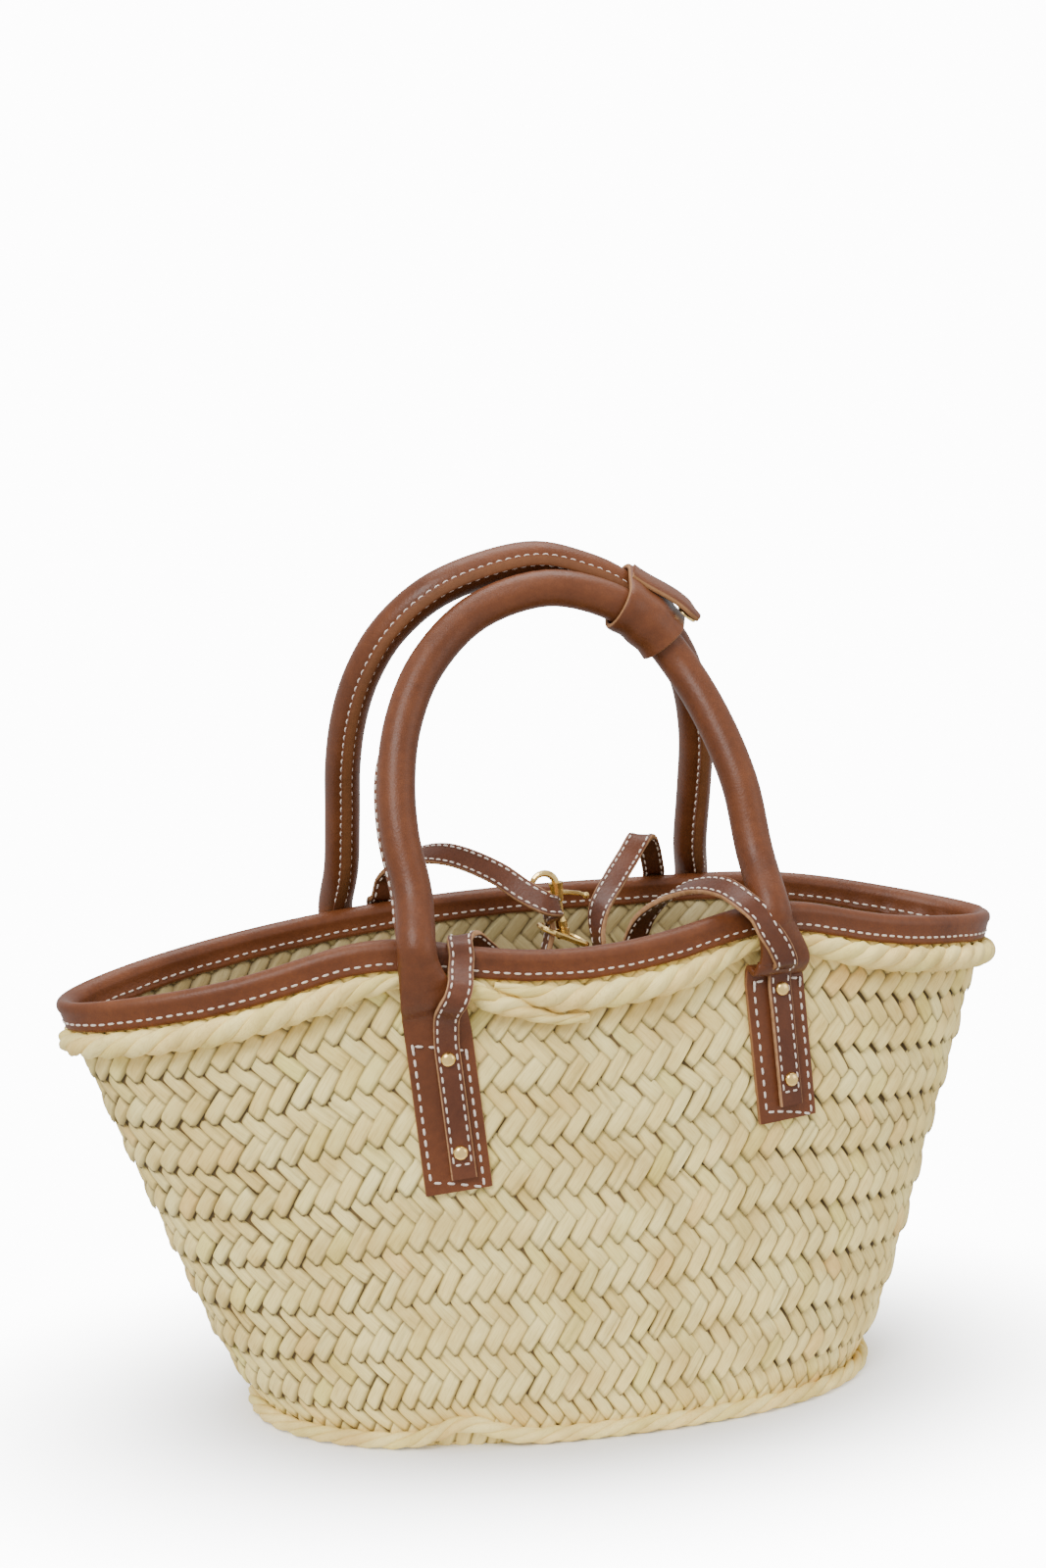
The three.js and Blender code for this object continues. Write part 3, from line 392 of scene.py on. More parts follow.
# A material under way: its nodes, its links and its principled shader
class Shade:
    def __init__(self, name, roughness, metallic=0.0):
        self.material = bpy.data.materials.new(name)
        self.material.use_nodes = True
        self.nodes = self.material.node_tree.nodes
        self.links = self.material.node_tree.links
        self.shader = next(n for n in self.nodes if n.type == "BSDF_PRINCIPLED")
        self.set("Roughness", roughness)
        self.set("Metallic", metallic)

    def put(self, socket, value):
        if hasattr(value, "is_linked"):
            self.links.new(value, socket)
        else:
            socket.default_value = value

    def set(self, name, value):
        self.put(self.shader.inputs[name], value)

    def node(self, kind, inputs=(), **values):
        made = self.nodes.new(kind)
        for key, value in values.items():
            setattr(made, key, value)
        for key, value in dict(inputs).items():
            self.put(made.inputs[key], value)
        return made

    def attribute(self, name):
        return self.node("ShaderNodeAttribute", attribute_name=name).outputs["Fac"]

    def where(self):
        return self.node("ShaderNodeTexCoord").outputs["Object"]

    def place(self):
        return self.node("ShaderNodeUVMap", uv_map="place").outputs["UV"]

    def math(self, operation, a, b):
        return self.node("ShaderNodeMath", {0: a, 1: b}, operation=operation).outputs[0]

    def vector(self, operation, a, b):
        return self.node("ShaderNodeVectorMath", {0: a, 1: b}, operation=operation).outputs[0]

    def ramp(self, factor, *stops):
        made = self.node("ShaderNodeValToRGB", {"Fac": factor})
        elements = made.color_ramp.elements
        elements[0].position, elements[0].color = stops[0]
        elements[1].position, elements[1].color = stops[-1]
        for position, colour in stops[1:-1]:
            elements.new(position).color = colour
        return made.outputs["Color"]

    def blend(self, factor, a, b, kind="MIX"):
        made = self.node("ShaderNodeMix", {"Factor": factor}, data_type="RGBA", blend_type=kind)
        for name, value in (("A", a), ("B", b)):
            self.put(next(s for s in made.inputs if s.name == name and s.type == "RGBA"), value)
        return next(s for s in made.outputs if s.type == "RGBA")

    def noise(self, place, scale, detail=3.0, roughness=0.55):
        inputs = {"Vector": place, "Scale": scale, "Detail": detail, "Roughness": roughness}
        return self.node("ShaderNodeTexNoise", inputs).outputs["Fac"]

    def bump(self, height, strength, distance, before=None):
        inputs = {"Height": height, "Strength": strength, "Distance": distance}
        if before is not None:
            inputs["Normal"] = before
        normal = self.node("ShaderNodeBump", inputs).outputs["Normal"]
        self.set("Normal", normal)
        return normal


# Each leaf has its own tone and tint, fine streaks along it, and painted shade at its edges, ends and splits
def leaf_material(name, light, mid, dark, green, pink):
    shade = Shade(name, 0.6)
    tone, tint, edge = (shade.attribute(key) for key in ("tone", "tint", "edge"))
    stretched = shade.vector("MULTIPLY", shade.place(), (0.12, 9.0, 0.0))
    shift = {"X": shade.math("MULTIPLY", tone, 37.0), "Y": shade.math("MULTIPLY", tint, 53.0)}
    shifted = shade.node("ShaderNodeCombineXYZ", shift).outputs[0]
    streak = shade.noise(shade.vector("ADD", stretched, shifted), 1.0, 4.0, 0.65)
    base = shade.ramp(tone, (0.0, dark), (0.35, mid), (1.0, light))
    tinted = shade.ramp(tint, (0.0, green), (0.32, WHITE), (0.7, WHITE), (1.0, pink))
    coloured = shade.blend(0.75, base, tinted, "MULTIPLY")
    pale, low = linear(246, 242, 232), linear(206, 194, 166)
    lines = shade.ramp(streak, (0.28, low), (0.5, pale), (0.72, WHITE))
    streaked = shade.blend(0.6, coloured, lines, "MULTIPLY")
    blotch = shade.noise(shade.where(), 55.0)
    stains = shade.ramp(blotch, (0.32, linear(205, 190, 160)), (0.6, WHITE))
    stained = shade.blend(0.6, streaked, stains, "MULTIPLY")
    # The edge tint mixes in a dark brown: painted shade where each leaf dips under or parts from its neighbours
    shade.set("Base Color", shade.blend(edge, stained, linear(84, 68, 36)))
    shade.set("Roughness", shade.ramp(streak, (0.2, grey(0.72)), (0.8, grey(0.5))))
    shade.set("Specular IOR Level", 0.35)
    shade.bump(streak, 0.55, 0.00025)
    return shade.material


# Leather with pores and creases, and raw fibre where the edge attribute says so
def leather_material(name, light, mid, dark, raw):
    shade = Shade(name, 0.45)
    where = shade.where()
    edge, tone = shade.attribute("edge"), shade.attribute("tone")
    broad = shade.noise(where, 38.0, 4.0, 0.6)
    fine = shade.noise(where, 420.0, 3.0, 0.6)
    both = shade.math("ADD", shade.math("MULTIPLY", broad, 0.7), shade.math("MULTIPLY", fine, 0.3))
    colour = shade.ramp(both, (0.3, dark), (0.5, mid), (0.72, light))
    worn = shade.blend(shade.math("MULTIPLY", tone, 0.2), colour, light)
    fibre = shade.ramp(fine, (0.35, linear(150, 108, 70)), (0.65, raw))
    shade.set("Base Color", shade.blend(edge, worn, fibre))
    cloudy, rough = shade.math("MULTIPLY", broad, 0.25), shade.math("MULTIPLY", edge, 0.35)
    shade.set("Roughness", shade.math("ADD", shade.math("ADD", cloudy, rough), 0.3))
    shade.set("Specular IOR Level", 0.29)
    pores = shade.node("ShaderNodeTexVoronoi", {"Vector": where, "Scale": 1100.0})
    first = shade.bump(pores.outputs["Distance"], 0.25, 0.0002)
    shade.bump(shade.noise(where, 160.0, 4.0, 0.6), 0.3, 0.0006, first)
    return shade.material


def thread_material():
    shade = Shade("thread", 0.7)
    inputs = {"Vector": shade.place(), "Scale": 3.0}
    wave = shade.node("ShaderNodeTexWave", inputs, wave_type="BANDS", bands_direction="DIAGONAL")
    twist = wave.outputs["Fac"]
    shade.set("Base Color", shade.ramp(twist, (0.1, linear(206, 186, 170)), (0.8, linear(240, 228, 216))))
    shade.bump(twist, 0.4, 0.0001)
    return shade.material


def brass_material():
    shade = Shade("brass_polished", 0.2, 1.0)
    where = shade.where()
    cloud = shade.noise(where, 220.0)
    shade.set("Base Color", shade.ramp(cloud, (0.3, (0.84, 0.56, 0.17, 1)), (0.7, (0.96, 0.7, 0.28, 1))))
    shade.set("Roughness", shade.ramp(cloud, (0.3, grey(0.2)), (0.75, grey(0.32))))
    shade.bump(shade.noise(where, 900.0, 2.0), 0.08, 0.0001)
    return shade.material


def floor_material():
    shade = Shade("floor", 0.7)
    where = shade.where()
    grain = shade.noise(where, 14.0)
    shade.set("Base Color", shade.ramp(grain, (0.3, (0.94, 0.94, 0.935, 1)), (0.7, (0.96, 0.96, 0.955, 1))))
    flat = shade.vector("MULTIPLY", where, (0.6, 1, 1))
    far = shade.node("ShaderNodeVectorMath", {0: flat}, operation="LENGTH").outputs["Value"]
    span = {"Value": far, "From Min": FLOOR_NEAR, "From Max": FLOOR_FAR}
    fade = shade.node("ShaderNodeMapRange", span, interpolation_type="SMOOTHSTEP").outputs["Result"]
    seen = shade.node("ShaderNodeLightPath").outputs["Is Camera Ray"]
    strength = shade.math("ADD", shade.math("MULTIPLY", seen, BACKDROP - AMBIENT), AMBIENT)
    glow = shade.node("ShaderNodeEmission", {"Strength": strength}).outputs[0]
    both = shade.node("ShaderNodeMixShader", {0: fade, 1: shade.shader.outputs[0], 2: glow})
    output = next(n for n in shade.nodes if n.type == "OUTPUT_MATERIAL")
    shade.links.new(both.outputs[0], output.inputs["Surface"])
    return shade.material


STRAW = leaf_material(
    "palm_leaf",
    light=linear(255, 238, 164), mid=linear(253, 229, 148), dark=linear(234, 209, 126),
    green=linear(236, 246, 190), pink=linear(255, 230, 208),
)
# A darker copy of the straw for the basket's inside and floor: painted shade
STRAW_PAINTED_SHADE = leaf_material(
    "palm_leaf_painted_shade",
    light=linear(200, 184, 138), mid=linear(176, 158, 110), dark=linear(148, 128, 84),
    green=linear(224, 232, 176), pink=linear(255, 222, 196),
)
# A dark brown sheet behind the leaves: painted shade in the gaps of the weave
STRAW_GAP_SHADE = leaf_material(
    "palm_backing_painted_shade",
    light=linear(126, 106, 66), mid=linear(104, 86, 50), dark=linear(84, 68, 38),
    green=WHITE, pink=WHITE,
)
LEATHER = leather_material(
    "leather_brown",
    light=linear(112, 63, 32), mid=linear(94, 50, 24), dark=linear(76, 39, 18), raw=linear(158, 114, 78),
)
STRAP = leather_material(
    "leather_strap",
    light=linear(98, 54, 31), mid=linear(82, 43, 24), dark=linear(66, 33, 18), raw=linear(176, 134, 98),
)
THREAD = thread_material()
BRASS = brass_material()

# Even distances round the basket at every height: the angle at a share of the way round
TURN_STEPS, LEVEL_STEPS = 1440, 40
TURN = np.linspace(0, 2 * math.pi, TURN_STEPS + 1)
LEVELS = np.linspace(0, 1, LEVEL_STEPS + 1)


def turn_table():
    rows = []
    for level in LEVELS:
        gone = path_lengths(skin_at(TURN, level, 0.0))
        rows.append(np.interp(np.linspace(0, 1, TURN_STEPS + 1), gone / gone[-1], TURN))
    return np.array(rows)


ANGLE_TABLE = turn_table()


def angle_round(way, level):
    way = np.asarray(way, float)
    whole = np.floor(way)
    column = (way - whole) * TURN_STEPS
    row = np.clip(np.asarray(level, float), 0, 1) * LEVEL_STEPS
    i = np.minimum(row.astype(int), LEVEL_STEPS - 1)
    j = np.minimum(column.astype(int), TURN_STEPS - 1)
    a, b = row - i, column - j
    low = ANGLE_TABLE[i, j] * (1 - b) + ANGLE_TABLE[i, j + 1] * b
    high = ANGLE_TABLE[i + 1, j] * (1 - b) + ANGLE_TABLE[i + 1, j + 1] * b
    return low * (1 - a) + high * a + whole * 2 * math.pi


# One set of leaf pieces: each passes over two crossing leaves and dips under the next at both ends.
# across and up count leaves, and place turns them into points at a height over the backing
LEAF_LONG, LEAF_WIDE = 9, 7
S, T = np.meshgrid(np.linspace(-1, 1, LEAF_LONG), np.linspace(-1, 1, LEAF_WIDE), indexing="ij")


def leaf_lattice(columns, rows):
    places = []
    for row in range(rows):
        slope = 1 if row % 2 == 0 else -1
        for column in range(columns):
            across = column + (0.25 if slope > 0 else 0.75)
            strip = round(across - 0.25 - row) if slope > 0 else round(across + 0.25 + row)
            places.append((across, row + 0.25, slope, strip % columns))
    return np.array(places, float)


# Leaves run along s and across t. Where lapped is 1, rows close to the tips have shorter ends with stronger
# painted shade
def weave(columns, rows, place, lapped=0.0):
    lattice = leaf_lattice(columns, rows)
    count = len(lattice)
    strips = rng.random((2, columns))
    hues = rng.random((2, columns))
    side = (lattice[:, 2] > 0).astype(int)
    strip = lattice[:, 3].astype(int)
    tone = np.clip(0.45 * strips[side, strip] + 0.35 + rng.normal(0, 0.12, count), 0, 1)
    tint = np.clip(0.5 + 0.5 * (hues[side, strip] - 0.5) + rng.normal(0, 0.09, count), 0, 1)
    jog = rng.normal(0, 0.022, (count, 2))
    width = LEAF_WIDTH * (1 + rng.normal(0, 0.07, count)).clip(0.8, 1.08)
    turn = rng.normal(0, 0.04, count)
    off_leaf = 9.0
    split = np.where(rng.random(count) < SPLIT_CHANCE, rng.uniform(-0.45, 0.45, count), off_leaf)
    lift = rng.normal(0, 0.1, count)
    tilt = LEAF_TILT + rng.normal(0, 0.16, count)
    near_end = np.abs(np.sin(2 * math.pi * lattice[:, 0] / columns))
    end_way = mix(0.4, 1, smooth(near_end, 0.45, 0.9)) * lapped

    def spread(values):
        return values[:, None, None]

    s, t = S[None], T[None]
    round_end = 1 - 0.18 * np.abs(s) ** 5
    a = s * 0.5 * spread(LEAF_LENGTH - 0.12 * end_way)
    b = t * 0.25 * spread(width) * round_end + a * spread(turn)
    u = spread(lattice[:, 0]) + spread(jog[:, 0]) + a + b
    v = spread(lattice[:, 1]) + spread(jog[:, 1]) + spread(lattice[:, 2]) * (a - b)
    dome = (1 - np.abs(t) ** 7) * (0.34 + 0.66 * (1 - np.abs(s) ** 3.2)) * (1 - 0.14 * t * t)
    groove = 0.5 * bell((t - spread(split)) / 0.16)
    height = -LEAF_SINK + (LEAF_SINK + LEAF_RISE) * (dome - groove * dome)
    height = height + (spread(lift) + spread(tilt) * t) * dome
    points = place(u, v, height)
    # Painted shade at the leaves' ends, sides and splits, where they dip under or part from their neighbours; it
    # goes into the edge tint
    painted_end_shade = spread(0.6 + 0.4 * end_way) * smooth(np.abs(s), 0.78, 1.02)
    painted_side_shade = 0.8 * smooth(np.abs(t), 0.88, 1.0)
    edge = np.clip(painted_end_shade + painted_side_shade + 0.45 * groove, 0, 0.95) * np.ones_like(points[..., 0])
    tints = together(spread(tone), spread(tint), edge)
    along = spread(np.arange(count)) * 0.37 + s * 6.5
    return Build().grids(points, together(along, (t + 1) / 2), tints)


# The wall's leaves. Rows stand off in pairs, most of all near the tips, and lie flat near the rim
def on_wall(side):
    def place(u, v, height):
        level = np.clip(v / LEAF_ROWS, 0.0, 1 - 4 / RIM_HEIGHT)
        angle = angle_round(u / LEAVES_ROUND, level)
        standing = mix(ROW_LAP, 1, smooth(np.abs(np.sin(angle)), 0.6, 0.95))
        standing = standing * smooth(-level, -0.9, -0.8)
        row = np.round(v.mean(axis=(1, 2), keepdims=True) - 0.25)
        pair_middle = 2 * np.floor(row / 2) + 0.75
        height = height + standing * (0.3 - (v - pair_middle))
        out = height if side > 0 else -WALL - height
        return skin_at(angle, level, out)

    return place


# The bottom's plan: points outside it are drawn back to its edge
def on_bottom(top, inset):
    def place(u, v, height):
        x, y = (u - BOTTOM_COLUMNS // 2) * BOTTOM_PITCH, (v - BOTTOM_ROWS // 2) * BOTTOM_PITCH
        half_length = BASE_HALF_LENGTH - END_TUCK * BASE_ROUNDING - inset
        half_depth = BASE_HALF_DEPTH - SIDE_TUCK * BASE_ROUNDING - inset
        reach = np.clip(np.abs(x) / half_length, 0, 1)
        flat = y / (half_depth * np.sqrt(1 + BASE_SQUARENESS * reach * reach))
        over = np.maximum(np.sqrt((x / half_length) ** 2 + flat**2), 1)
        z = FLOOR + 0.2 + height if top else LEAF_RISE + 0.12 - height
        return np.stack([x / over, y / over, np.maximum(z, 0.02)], -1)

    return place


# The wall behind the leaves, inside and out, with its bottom, dark all over: painted shade for the gaps between
# the leaves
def backing():
    build = Build()
    levels = np.concatenate([[0.0, 0.01, 0.03, 0.06, 0.1], np.linspace(0.15, 0.9, 12)])
    angles = np.linspace(0, 2 * math.pi, 240, endpoint=False)

    def ring(level, out):
        return skin_at(angles, level, out)

    def top(out):
        return skin(angles, WALL_TOP + 1, out)

    outer = [ring(level, -0.5) for level in levels] + [top(-0.5)]
    inner = [top(-WALL + 0.5)] + [ring(level, -WALL + 0.5) for level in levels[::-1][:-3]]
    low = ring(0.0, -3.5)
    low[:, 2] = 1.2
    floor = ring(0.02, -WALL)
    floor[:, 2] = FLOOR
    outer[0][:, 2] = 1.0
    shares = [0.0, 0.5, 0.9]
    under = [np.concatenate([low[:, :2] * share, low[:, 2:]], 1) for share in shares]
    inside = [np.concatenate([floor[:, :2] * share, floor[:, 2:]], 1) for share in shares[::-1]]
    build.grids(np.array([*under, low, *outer, *inner, floor, *inside]), loop_v=True)
    return build.object("weave_shade_backing", STRAW_GAP_SHADE)


def make_basket():
    wall, bottom = (LEAVES_ROUND, LEAF_ROWS), (BOTTOM_COLUMNS, BOTTOM_ROWS)
    outside = weave(*wall, on_wall(1), 1.0).object("weave_outside", STRAW)
    # The inside and the floor take the straw with painted shade
    inside = weave(*wall, on_wall(-1), 1.0).object("weave_inside", STRAW_PAINTED_SHADE)
    under = weave(*bottom, on_bottom(False, 1.0)).object("weave_underside", STRAW)
    floor = weave(*bottom, on_bottom(True, 2.5)).object("weave_floor", STRAW_PAINTED_SHADE)
    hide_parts("basket_body")
    for piece in (outside, inside, under, floor, backing()):
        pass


# A rope of twisted strands along a path of centres with its radius at each
def rope(name, centres, radii, lay, closed):
    build = Build()
    before = np.roll(centres, 1, 0)
    after = np.roll(centres, -1, 0)
    if not closed:
        before[0], after[-1] = centres[0], centres[-1]
    along = unit(after - before)
    up = np.broadcast_to([0.0, 0.0, 1.0], centres.shape)
    through = unit(up - np.sum(up * along, 1, keepdims=True) * along)
    across = np.cross(along, through)
    gone = path_lengths(centres)
    total = gone[-1] + (np.linalg.norm(centres[0] - centres[-1]) if closed else 0)
    turns = round(total / lay) if closed else total / lay
    sides = 14
    around = np.linspace(0, 2 * math.pi, sides, endpoint=False)
    wobble = rng.normal(0, 1, (ROPE_STRANDS, 3))
    for k in range(ROPE_STRANDS):
        way = gone / total * 2 * math.pi
        uneven = sum(np.sin(way * (17 + 12 * h) + wobble[k, h]) for h in range(3)) / 3
        phase = way * turns + 2 * math.pi * k / ROPE_STRANDS + 0.12 * uneven
        size = (radii * (STRAND_RADIUS + 0.02 * uneven))[:, None, None]
        out = unit(np.cos(phase)[:, None] * across + np.sin(phase)[:, None] * through)
        middle = centres + out * (radii * STRAND_OFFSET)[:, None]
        twist = unit(np.roll(middle, -1, 0) - np.roll(middle, 1, 0))
        if not closed:
            twist[0], twist[-1] = twist[1], twist[-2]
        side = unit(np.cross(twist, out))
        outward = np.cross(side, twist)
        folds = 0.05 * np.cos(5 * around + wobble[k, 0]) + 0.03 * np.cos(9 * around + wobble[k, 1])
        c = (np.cos(around) * (1 + folds))[None, :, None]
        s = (np.sin(around) * (1 + folds))[None, :, None]
        rings = middle[:, None] + size * (c * outward[:, None] + s * side[:, None])
        places = together((gone + 200 * k)[:, None], np.abs(around / math.pi - 1)[None] * 2)
        patches = 0.5 + 0.3 * np.sin(gone / 21 + 3 * k) * np.sin(gone / 7.7 + k)
        tint = 0.5 + 0.3 * np.sin(gone / 15 + 2 * k)
        # Painted shade on each strand's side that faces the rope's middle, in the crevices between the strands
        strand_crevice_shade = 0.3 * smooth(-np.cos(around), 0.0, 1.0)
        tints = together(patches[:, None], tint[:, None], strand_crevice_shade[None])
        if closed:
            build.grids(rings, places, tints, loop_u=True, loop_v=True)
        else:
            build.tube(rings, places, tints)
    return build.object(name, STRAW)


# The share of the rim rope's thickness left under the handles' legs and at the basket's tips
def cord_squeeze(angle):
    x = skin(angle, CORD_DROP, 0)[:, 0]
    face = np.where(np.cos(angle) > 0, 1, -1)
    near = np.zeros_like(x)
    for tab in TABS.values():
        near = np.maximum(near, bell((x - tab["leg_x"]) / CORD_SQUEEZE_WIDTH) * (face == tab["face"]))
    return 1 - (1 - CORD_SQUEEZE) * near - TIP_SQUEEZE * np.sin(angle) ** 8


# The rim rope goes round once and its tail runs on below its head
def make_rim_rope():
    radius = RIM_CORD_DIAMETER / 2
    start = angle_at(CORD_OVERLAP_START, CORD_DROP, 1)
    overlap_end = CORD_OVERLAP_START + CORD_OVERLAP_LENGTH
    overlap = angle_at(overlap_end, CORD_DROP, 1) - start
    tail = angle_at(overlap_end + CORD_TAIL_LENGTH, CORD_DROP, 1) - start
    gone = np.linspace(0, 2 * math.pi + tail, 3200)
    reach = path_lengths(skin(start + gone, CORD_DROP, CLEARANCE + CORD_SEAT + radius))
    gone = np.interp(np.linspace(0, reach[-1], 700), reach, gone)
    past = gone - 2 * math.pi

    def head_radius(way):
        return mix(radius * CORD_TIP_SHARE, radius, smooth(way, 0, overlap))

    head = head_radius(gone)
    clear = 2 * head_radius(np.maximum(past, 0)) + CLEARANCE
    dip = clear * smooth(past, -CORD_DIP_TURN, 0)
    taper = mix(1, CORD_TAIL_SHARE, smooth(past, -0.3 * overlap, tail * 0.75))
    thickness = np.where(past > -CORD_DIP_TURN, radius * taper, head)
    lift = np.where(gone < overlap, radius - head, 0)
    squeeze = cord_squeeze(start + gone)
    drop = CORD_DROP - lift + dip - (radius - thickness) * (past > 0) - radius * (1 - squeeze)
    tucked = TIP_TUCK * np.sin(start + gone) ** 8
    centres = skin(start + gone, drop, CLEARANCE + CORD_SEAT + radius * squeeze - tucked)
    rim = rope("rim_rope", centres, thickness * squeeze, RIM_ROPE_LAY, closed=False)
    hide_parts("rim_cord")


def make_base_rope():
    radius = BASE_CORD_DIAMETER / 2
    steps = 560
    angles = angle_round(np.linspace(0, 1, steps, endpoint=False), np.zeros(steps))
    x = BASE_HALF_LENGTH * np.sin(angles)
    near = np.where(np.cos(angles) > 0, bell((x - BASE_HUMP_X) / BASE_HUMP_WIDTH), 0)
    drop = rim_height(angles) - radius - BASE_HUMP_HEIGHT * near
    rise = skin(angles, drop - 1, 0.0) - skin(angles, drop + 1, 0.0)
    upright = rise[:, 2] / np.linalg.norm(rise, axis=1)
    centres = skin(angles, drop, (radius + CLEARANCE) / upright)
    base = rope("base_rope", centres, np.full(steps, radius), BASE_ROPE_LAY, closed=True)
    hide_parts("base_cord")


# Stitches: small rounded threads at places along a line, each sunk a little at both ends
def stitches(build, centres, alongs, normals, length, width, height):
    across = unit(np.cross(normals, alongs))
    steps, sides = 7, 6
    way = np.linspace(-1, 1, steps)[None, :, None]
    around = np.linspace(0, 2 * math.pi, sides, endpoint=False)[None, None, :]
    swell = np.sqrt(1 - way**4)
    u = way * length / 2
    v = swell * np.cos(around) * width / 2
    w = height * (1 - way**2) - 0.35 * height + swell * np.sin(around) * width * 0.4

    def pick(values):
        return values[:, None, None, :]

    points = pick(centres) + u[..., None] * pick(alongs)
    points = points + v[..., None] * pick(across) + w[..., None] * pick(normals)
    build.grids(points, together(u, np.cos(around)), loop_v=True)


# Stitches at an even pitch along a line of points, on the side that its normals face
def stitch_line(build, line, normals, pitch, length=None, closed=False, width=0.75, height=0.35):
    line, normals = np.asarray(line, float), np.asarray(normals, float)
    if closed:
        line, normals = np.concatenate([line, line[:1]]), np.concatenate([normals, normals[:1]])
    gone = path_lengths(line)
    count = max(int(round(gone[-1] / pitch)), 1)
    at = (np.arange(count) + 0.5) / count * gone[-1]

    def pick(values, where):
        return np.stack([np.interp(where, gone, values[:, k]) for k in range(3)], -1)

    ends = pick(line, np.maximum(at - 0.4, 0)), pick(line, np.minimum(at + 0.4, gone[-1]))
    alongs, outs = unit(ends[1] - ends[0]), unit(pick(normals, at))
    stitches(build, pick(line, at), alongs, outs, length or 0.72 * pitch, width, height)


# The binding's profile runs over the rim's bead and down each face, with a soft lower edge
def binding_profile():
    turn = np.linspace(0, math.pi, 15)
    middle, low, soft = -WALL / 2, BINDING_DEPTH, 0.5
    bead = [(middle + BEAD_RADIUS * math.cos(a), BEAD_RADIUS * (1 - math.sin(a))) for a in turn]
    face, back = -WALL - BINDING_FACE, -WALL - CLEARANCE
    inner = [
        (face + 0.35, 4.6), (face + 0.3, 6.2), (face + 0.35, BINDING_STITCH_DROP), (face + 0.15, 8.8),
        (face + 0.1, low - soft), (face + soft, low),
        (back - 0.1, low - 0.1), (back, low - soft), (back, 4.2),
    ]
    outer = [(-WALL - out, drop) for out, drop in inner[::-1]]
    return np.array([*bead, *inner, *outer])


def make_binding():
    steps = 420
    shares = np.linspace(0, 1, steps, endpoint=False)
    angles = angle_round(shares, np.ones(steps))
    profile = binding_profile()
    shape = profile[None] * np.ones((steps, 1, 1))
    gone = shares * 2 * math.pi
    sway = 0.22 * np.sin(23 * gone + 1) + 0.18 * np.sin(41 * gone + 2) + 0.12 * np.sin(67 * gone)
    away = np.sign(profile[:, 0] + WALL / 2)
    low = smooth(profile[:, 1], 4, 9)[None]
    pucker = 0.16 * np.sin(214 * gone)[:, None] * low
    right = bell((np.degrees(angles) - 96) / 34)
    folds = 0.75 * right * (np.sin(70 * gone) + 0.6 * np.sin(113 * gone + 1))
    gathers = folds[:, None] * np.where(away < 0, low, 0)
    shape[..., 0] += away[None] * (pucker + 0.25 * sway[:, None] * low) + gathers
    shape[..., 1] += 0.3 * sway[:, None] * smooth(profile[:, 1], 2, 10)[None]
    points = skin(angles[:, None], shape[..., 1], shape[..., 0])
    raw = np.where(profile[:, 1] > BINDING_DEPTH - 0.3, 0.6, 0.0)
    tints = together(0.5 + 0.4 * np.sin(9 * gone)[:, None], 0.5, raw[None])
    build = Build().grids(points, None, tints, loop_u=True, loop_v=True, flip=True)
    leather = build.object("binding_leather", LEATHER)
    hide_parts("rim_binding")

    # A row of stitches on each face, on the profile's point nearest their line
    thread = Build()
    drop = BINDING_STITCH_DROP
    outward = unit(skin(angles, drop, 40.0) - skin(angles, drop, 0.0))
    for sign in (1, -1):
        other = (away != sign) | (np.abs(profile[:, 0] + WALL / 2) < 3)
        column = int(np.argmin(np.abs(profile[:, 1] - drop) + 100 * other))
        stitch_line(thread, points[:, column], outward * sign, BINDING_PITCH, closed=True)
    piece = thread.object("binding_stitches", THREAD)


# The handles' legs from the tab's foot up: where the row lies, as a share of the tab or in rope
# radii from the rope's middle, then shares of the way to full width, roundness and over the rope
LEG_ROWS = [
    dict(tab=0, width=0, round=0, over=0),
    dict(tab=0.35, width=0, round=0, over=0),
    dict(tab=0.7, width=0, round=0, over=0),
    dict(tab=0.92, width=0, round=0, over=0),
    dict(tab=1, width=0, round=0, over=0.04),
    dict(cord=-1.7, width=0.06, round=0.03, over=0.42),
    dict(cord=-0.8, width=0.27, round=0.1, over=0.96),
    dict(cord=0, width=0.5, round=0.22, over=1.04),
    dict(cord=1, width=0.75, round=0.45, over=0.95),
    dict(cord=2, width=0.93, round=0.72, over=0.72),
    dict(cord=3.1, width=1, round=0.95, over=0.5),
]
# The arches: x in half spans, height in rises, and the share of the way to where the handles meet
FRONT_ARCH = [
    (-0.97, 0.146, 0.22), (-1.012, 0.312, 0.38), (-1.001, 0.472, 0.55), (-0.932, 0.627, 0.72),
    (-0.774, 0.789, 0.87), (-0.466, 0.939, 1), (-0.058, 1.008, 1), (0.295, 0.97, 1),
    (0.521, 0.897, 1), (0.69, 0.793, 0.985), (0.845, 0.624, 0.76), (0.955, 0.42, 0.5),
    (0.995, 0.214, 0.3),
]
BACK_ARCH = [
    (-1.01, 0.089, 0.18), (-1.019, 0.258, 0.34), (-1.032, 0.419, 0.5), (-1.017, 0.561, 0.67),
    (-0.961, 0.688, 0.82), (-0.843, 0.807, 0.93), (-0.633, 0.913, 1), (-0.343, 0.979, 1),
    (-0.063, 1.006, 1), (0.157, 0.98, 1), (0.337, 0.94, 1), (0.512, 0.867, 1),
    (0.686, 0.762, 0.97), (0.818, 0.636, 0.84), (0.907, 0.483, 0.66), (0.965, 0.303, 0.4),
    (0.995, 0.124, 0.2),
]
